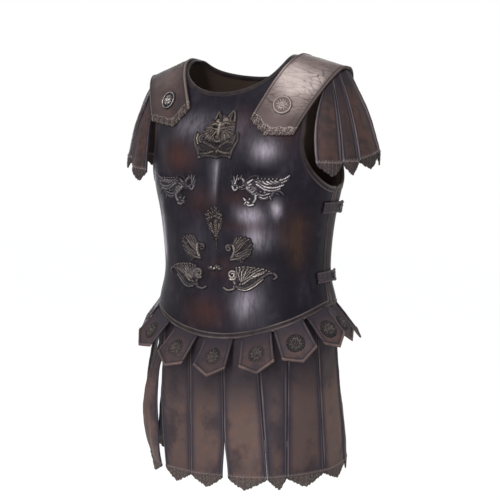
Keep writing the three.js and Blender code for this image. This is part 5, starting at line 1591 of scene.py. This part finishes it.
lowerScroll = [
    patch([(-26, -16), (-26, 12), (-20, 20), (0, 23), (24, 20), (40, 15), (44, 9), (32, 8), (22, 0),
        (10, -12), (-6, -19)], 3, 0.6),
    curve([(-47, -18), (-38, -22), (-27, -19), (-24, -13)], 2.4, 3.0, 2.6),
    curve([(-24, -13), (-26, -7), (-29, -3)], 3.0, 2.4, 2.8), dot(-25, -15, 3.4, 3.6),
    curve([(-22, -15), (-6, -18), (8, -11), (24, 3), (36, 11), (45, 10)], 3.8, 2.4, 2.0),
    curve([(-18, -19), (-4, -21), (10, -14), (26, 0)], 2.0, 1.6, 3.2),
    curve([(44, 11), (48, 5), (43, 0)], 2.4, 1.6, 2.4), spiral(-30, 7, 9.6, -120, 1.7, 3.1, 1.9, 3.0, 0.2),
    *fan(-16, -11, [(-22, 19), (-15, 21), (-7, 23), (1, 22), (9, 22), (17, 20), (25, 19), (32, 16)],
        2.6, 2.1, 2.6, -0.05),
    *fan(-10, -10, [(-19, 11), (-12, 13), (-4, 14), (4, 13), (12, 12), (20, 11), (28, 12)],
        1.8, 1.3, 4.2, -0.05),
    *beads([(-22, 20), (-8, 22), (8, 21), (24, 19), (36, 15)], 12, 1.7, 4.0),
    *beads([(-15, 2), (-4, 4), (8, 2), (18, 6)], 7, 1.3, 3.8),
]
navelStrokes = [
    curve([(-14, 0), (-6, -2), (0, 0), (6, -2), (14, 0)], 3.4, 3.2, 1.2), dot(-10, 1.2, 2.6, 2.6),
    dot(-4, -0.8, 2.9, 3.0), dot(2.4, 1.4, 2.8, 3.4), dot(8.4, -0.4, 2.5, 3.0),
    curve([(-2, 3), (0, 5.2)], 1.6, 1.2, 2.2), curve([(5, 3.2), (9, 4.4)], 1.5, 1.2, 2.2),
    dot(13, 1, 1.8, 2.0),
]


# the snout and the jaw stand out of the head
def muzzle(x, z):
    return spotSum(x, z, [(5, 14, 16, 18, 4.2), (-1, -4, 7, 9, 3)])


# size, the middle's place across and up, the metal's glow on each side and its warmth
ornaments = {
    "wolf_head": {"node": "beast_head", "strokes": wolfHead, "size": (98, 92), "at": (0, 640), "glow": [0.84],
                  "warmth": 0.8, "cell": 0.5, "bulge": muzzle},
    "palmette": {"node": "palmette", "strokes": palmetteStrokes, "size": (40, 86), "at": (0, 470),
                 "glow": [0.85], "warmth": 0.7, "cell": 0.5},
    "navel": {"node": None, "strokes": navelStrokes, "size": (34, 14), "at": (0, 396), "glow": [1.0],
              "warmth": 0.5, "cell": 0.5},
    "winged_beast": {"node": "winged_beast", "strokes": wingedBeast, "size": (106, 68), "at": (90, 541),
                     "glow": [1.0, 0.82], "warmth": 0.15},
    "upper_leaf": {"node": "upper_leaf", "strokes": upperLeaf, "size": (58, 54), "at": (48, 432),
                   "glow": [0.85, 0.8], "warmth": 0.6},
    "lower_scroll": {"node": "lower_scroll", "strokes": lowerScroll, "size": (102, 52), "at": (66, 379),
                     "glow": [1.0, 0.85], "warmth": 0.5},
}


def makeOrnaments():
    for name, ornament in ornaments.items():
        x, z = ornament["at"]
        endings = ["_left", "_right"] if len(ornament["glow"]) == 2 else [""]
        for ending, side, glow in zip(endings, (1, -1), ornament["glow"]):
            turned = [(points * [side, 1], *rest) for points, *rest in ornament["strokes"]]
            node = ornament["node"] and ornament["node"] + ending
            reliefPiece(f"{name}{ending}_relief", "shell", node, turned, ornament["size"],
                        onBreast(side * x, z), (glow, ornament["warmth"]), cell=ornament.get("cell", 0.55),
                        bulge=ornament.get("bulge"))


makeOrnaments()
print("ornaments made")

# medallions of the lappets and of the shoulder guards

def ringOf(count, radius, first, last, height, turn=0.0, inner=0.5, squash=1.0):
    made = []
    for k in range(count):
        angle = turn + math.tau * k / count
        way = np.array([math.cos(angle), math.sin(angle) * squash])
        made.append(curve([way * radius * inner, way * radius], first, last, height))
    return made


tabMedallion = [
    *ringOf(18, 14.6, 1.6, 1.9, 1.1, 0, 0.8, 1.06), spiral(0, 0, 11.6, 0, 1, 1.0, 1.0, 1.5, 1),
    *ringOf(9, 10.4, 1.5, 2.0, 1.7, 0.2, 0.62, 1.06), *ringOf(9, 8.4, 0.9, 1.3, 2.2, 0.55, 0.5, 1.06),
    dot(0, 0, 4.6, 1.6), *ringOf(6, 4.2, 0.9, 1.2, 2.6, 0.3, 0.4), dot(0, 0, 1.7, 3.6),
    curve([(-4, -6), (0, -9.5), (4, -6)], 1.2, 1.2, 2.0),
    curve([(-5.5, 5), (0, 9), (5.5, 5)], 1.3, 1.3, 2.0),
]
guardMedallion = [
    dot(0, 0, 15.6, 0.5), spiral(0, 0, 15.6, 0, 1, 1.5, 1.5, 2.2, 1),
    spiral(0, 0, 12.8, 0, 1, 0.7, 0.7, 1.3, 1), *ringOf(12, 10.0, 1.6, 1.1, 2.2, 0.26, 0.55),
    *ringOf(5, 8.2, 1.5, 1.2, 3.0, 0.5, 0.6), dot(0, 0.5, 5.6, 3.0),
    curve([(-2.6, -5.4), (0, -7), (2.6, -5.4)], 1.8, 1.8, 2.6),
    curve([(-3.6, 2.6), (-1.2, 2.2)], 0.8, 0.7, 4.2), curve([(3.6, 2.6), (1.2, 2.2)], 0.8, 0.7, 4.2),
    curve([(0, 2.4), (0, -0.6)], 0.8, 1.1, 5.0), curve([(-1.5, -2.6), (1.5, -2.6)], 0.6, 0.6, 4.2),
]


def onPlane(origin, along, up, face):
    def place(x, z):
        points = origin + (x / 1000)[..., None] * along + (z / 1000)[..., None] * up
        return points, np.broadcast_to(face, points.shape)
    return place


medallion = {
    "tabSize": (34, 36), "tabDrop": 0.0350, "tabFullHalf": 0.0275, "tabLook": (0.7, 0.8),
    "guardSize": (35, 35), "guardLean": math.radians(24), "guardAbove": 0.0006, "guardLook": (1.05, 0.4),
}


def makeMedallions():
    for i, (origin, along, fall, face, wideHalf) in enumerate(tabFaces):
        scale = min(1.0, wideHalf / medallion["tabFullHalf"])
        centre = origin + fall * medallion["tabDrop"] + face * tab["thickness"] * 0.4
        strokes = [(path * scale, first * scale, last * scale, rise)
            for path, first, last, rise in tabMedallion]
        size = [length * scale for length in medallion["tabSize"]]
        reliefPiece(f"waist_tab_{i + 1}_medallion", f"waist_tab_{i + 1}", None, strokes, size,
                    onPlane(centre, along, -fall, face), medallion["tabLook"], base=0.5, cell=0.6)
    for sideName, side in (("left", 1), ("right", -1)):
        x, z = (np.array(value) for value in guards[sideName]["medallion"])
        angle = angleAt(x, z)
        face = torsoNormal(np.array([[angle]]), np.array([[z]]), True)[0, 0]
        up = unit(np.array([0, 0, 1]) - face * face[2])
        along = np.cross(up, face)
        s, c = math.sin(medallion["guardLean"]), math.cos(medallion["guardLean"])
        up, along = up * c + along * s, along * c - up * s
        height = guard["lift"] + guard["thickness"] + medallion["guardAbove"]
        centre = torsoPoint(angle, z, True) + shift + face * height
        flip = np.array([side, 1, 1])
        strokes = [(points * [side, 1], *rest) for points, *rest in guardMedallion]
        name = f"shoulder_guard_{sideName}"
        reliefPiece(f"{name}_medallion", name, None, strokes, medallion["guardSize"],
                    onPlane(centre * flip, along * flip * side, up * flip, face * flip),
                    medallion["guardLook"], base=0.6, cell=0.45, leather=None if side < 0 else "guard")


makeMedallions()
print("medallions made")

# stage, lamps and camera

stage = {
    "floorZ": -0.32, "floorSize": 14.0, "shade": 0.86, "floorGlow": 0.2, "floorSeen": 1.12, "seenShare": 0.84,
    "skyTint": (0.93, 0.95, 1, 1), "skyStrength": 0.36, "lampTargetZ": 0.45,
}
camera = {"azimuth": 30.0, "height": 0.605, "distance": 1.95, "pitch": 5.43, "lens": 72.7, "shiftX": 0.004}
lamps = [  # name, azimuth, elevation, distance, width, height, watts, tint
    ("key", 12, 46, 2.3, 0.4, 0.4, 18, (1.0, 0.97, 0.97)),
    ("front_strip", 9, 6, 2.3, 0.14, 1.4, 23, (0.97, 0.95, 1.0)),
    ("left_strip", -34, 10, 2.3, 0.10, 1.3, 7, (0.9, 0.93, 1.0)),
    ("right", 78, 26, 2.4, 0.7, 0.9, 10, (0.96, 0.96, 1.0)),
    ("left_rim", -120, 16, 2.4, 0.5, 1.5, 12, (0.86, 0.92, 1.0)),
    ("back", 190, 40, 2.6, 1.2, 1.2, 14, (1.0, 0.98, 0.96)),
]


# pale to the camera and in reflections, plainer as a light
def paleNodes(tree, output, plain, seen):
    path = tree.nodes.new("ShaderNodeLightPath").outputs
    larger = {"operation": "MAXIMUM"}
    direct = treeNode(tree, "ShaderNodeMath", larger, {0: path["Is Camera Ray"], 1: path["Is Glossy Ray"]})
    direct = treeNode(tree, "ShaderNodeMath", larger, {0: direct, 1: path["Is Transmission Ray"]})
    tree.links.new(treeNode(tree, "ShaderNodeMixShader", {}, {0: direct, 1: plain, 2: seen}), output)


def makeStage():
    size = stage["floorSize"] / 2
    corners = [(-size, -size), (size, -size), (size, size), (-size, size)]
    mesh = bpy.data.meshes.new("floor")
    mesh.from_pydata([(x, y, stage["floorZ"]) for x, y in corners], [], [(0, 1, 2, 3)])
    floor = bpy.data.objects.new("floor", mesh)
    bpy.context.scene.collection.objects.link(floor)
    material = bpy.data.materials.new("floor_pale")
    material.use_nodes = True
    tree = material.node_tree
    shader = tree.nodes["Principled BSDF"]
    shader.inputs["Base Color"].default_value = (stage["shade"],) * 3 + (1,)
    shader.inputs["Roughness"].default_value = 0.9
    plain = shader.outputs[0]
    faint = treeNode(tree, "ShaderNodeEmission", {}, {"Strength": stage["floorGlow"]})
    bright = treeNode(tree, "ShaderNodeEmission", {}, {"Strength": stage["floorSeen"]})
    lit = treeNode(tree, "ShaderNodeAddShader", {}, {0: plain, 1: faint})
    seen = treeNode(tree, "ShaderNodeMixShader", {}, {0: stage["seenShare"], 1: plain, 2: bright})
    paleNodes(tree, tree.nodes["Material Output"].inputs["Surface"], lit, seen)
    mesh.materials.append(material)
    world = bpy.data.worlds.new("studio")
    bpy.context.scene.world = world
    world.use_nodes = True
    tree = world.node_tree
    sky = tree.nodes["Background"]
    sky.inputs["Color"].default_value = stage["skyTint"]
    sky.inputs["Strength"].default_value = stage["skyStrength"]
    paleSky = treeNode(tree, "ShaderNodeBackground", {}, {"Color": (1, 1, 1, 1)})
    paleNodes(tree, tree.nodes["World Output"].inputs["Surface"], sky.outputs[0], paleSky)


def aim(thing, target):
    direction = Vector(target) - thing.location
    thing.rotation_euler = direction.to_track_quat("-Z", "Y").to_euler()


def makeLamps():
    for name, azimuth, elevation, distance, width, height, watts, tint in lamps:
        light = bpy.data.lights.new(name, "AREA")
        light.shape, light.size, light.size_y = "RECTANGLE", width, height
        light.energy, light.color = watts, tint
        lamp = bpy.data.objects.new(name, light)
        turn, rise = math.radians(azimuth), math.radians(elevation)
        level = distance * math.cos(rise)
        middle = stage["lampTargetZ"]
        lamp.location = (level * math.sin(turn), -level * math.cos(turn), middle + distance * math.sin(rise))
        aim(lamp, (0, 0, middle))
        bpy.context.scene.collection.objects.link(lamp)


def makeCamera():
    data = bpy.data.cameras.new("view")
    data.lens, data.sensor_width, data.shift_x = camera["lens"], 36, camera["shiftX"]
    seen = bpy.data.objects.new("view", data)
    turn = math.radians(camera["azimuth"])
    x, y = camera["distance"] * math.sin(turn), -camera["distance"] * math.cos(turn) + shiftY
    seen.location = (x, y, camera["height"])
    drop = camera["distance"] * math.tan(math.radians(camera["pitch"]))
    aim(seen, (0, shiftY, camera["height"] - drop))
    bpy.context.scene.collection.objects.link(seen)
    bpy.context.scene.camera = seen


makeStage()
makeLamps()
makeCamera()
bpy.context.scene.view_settings.view_transform = "Standard"
print("stage, lamps and camera made")
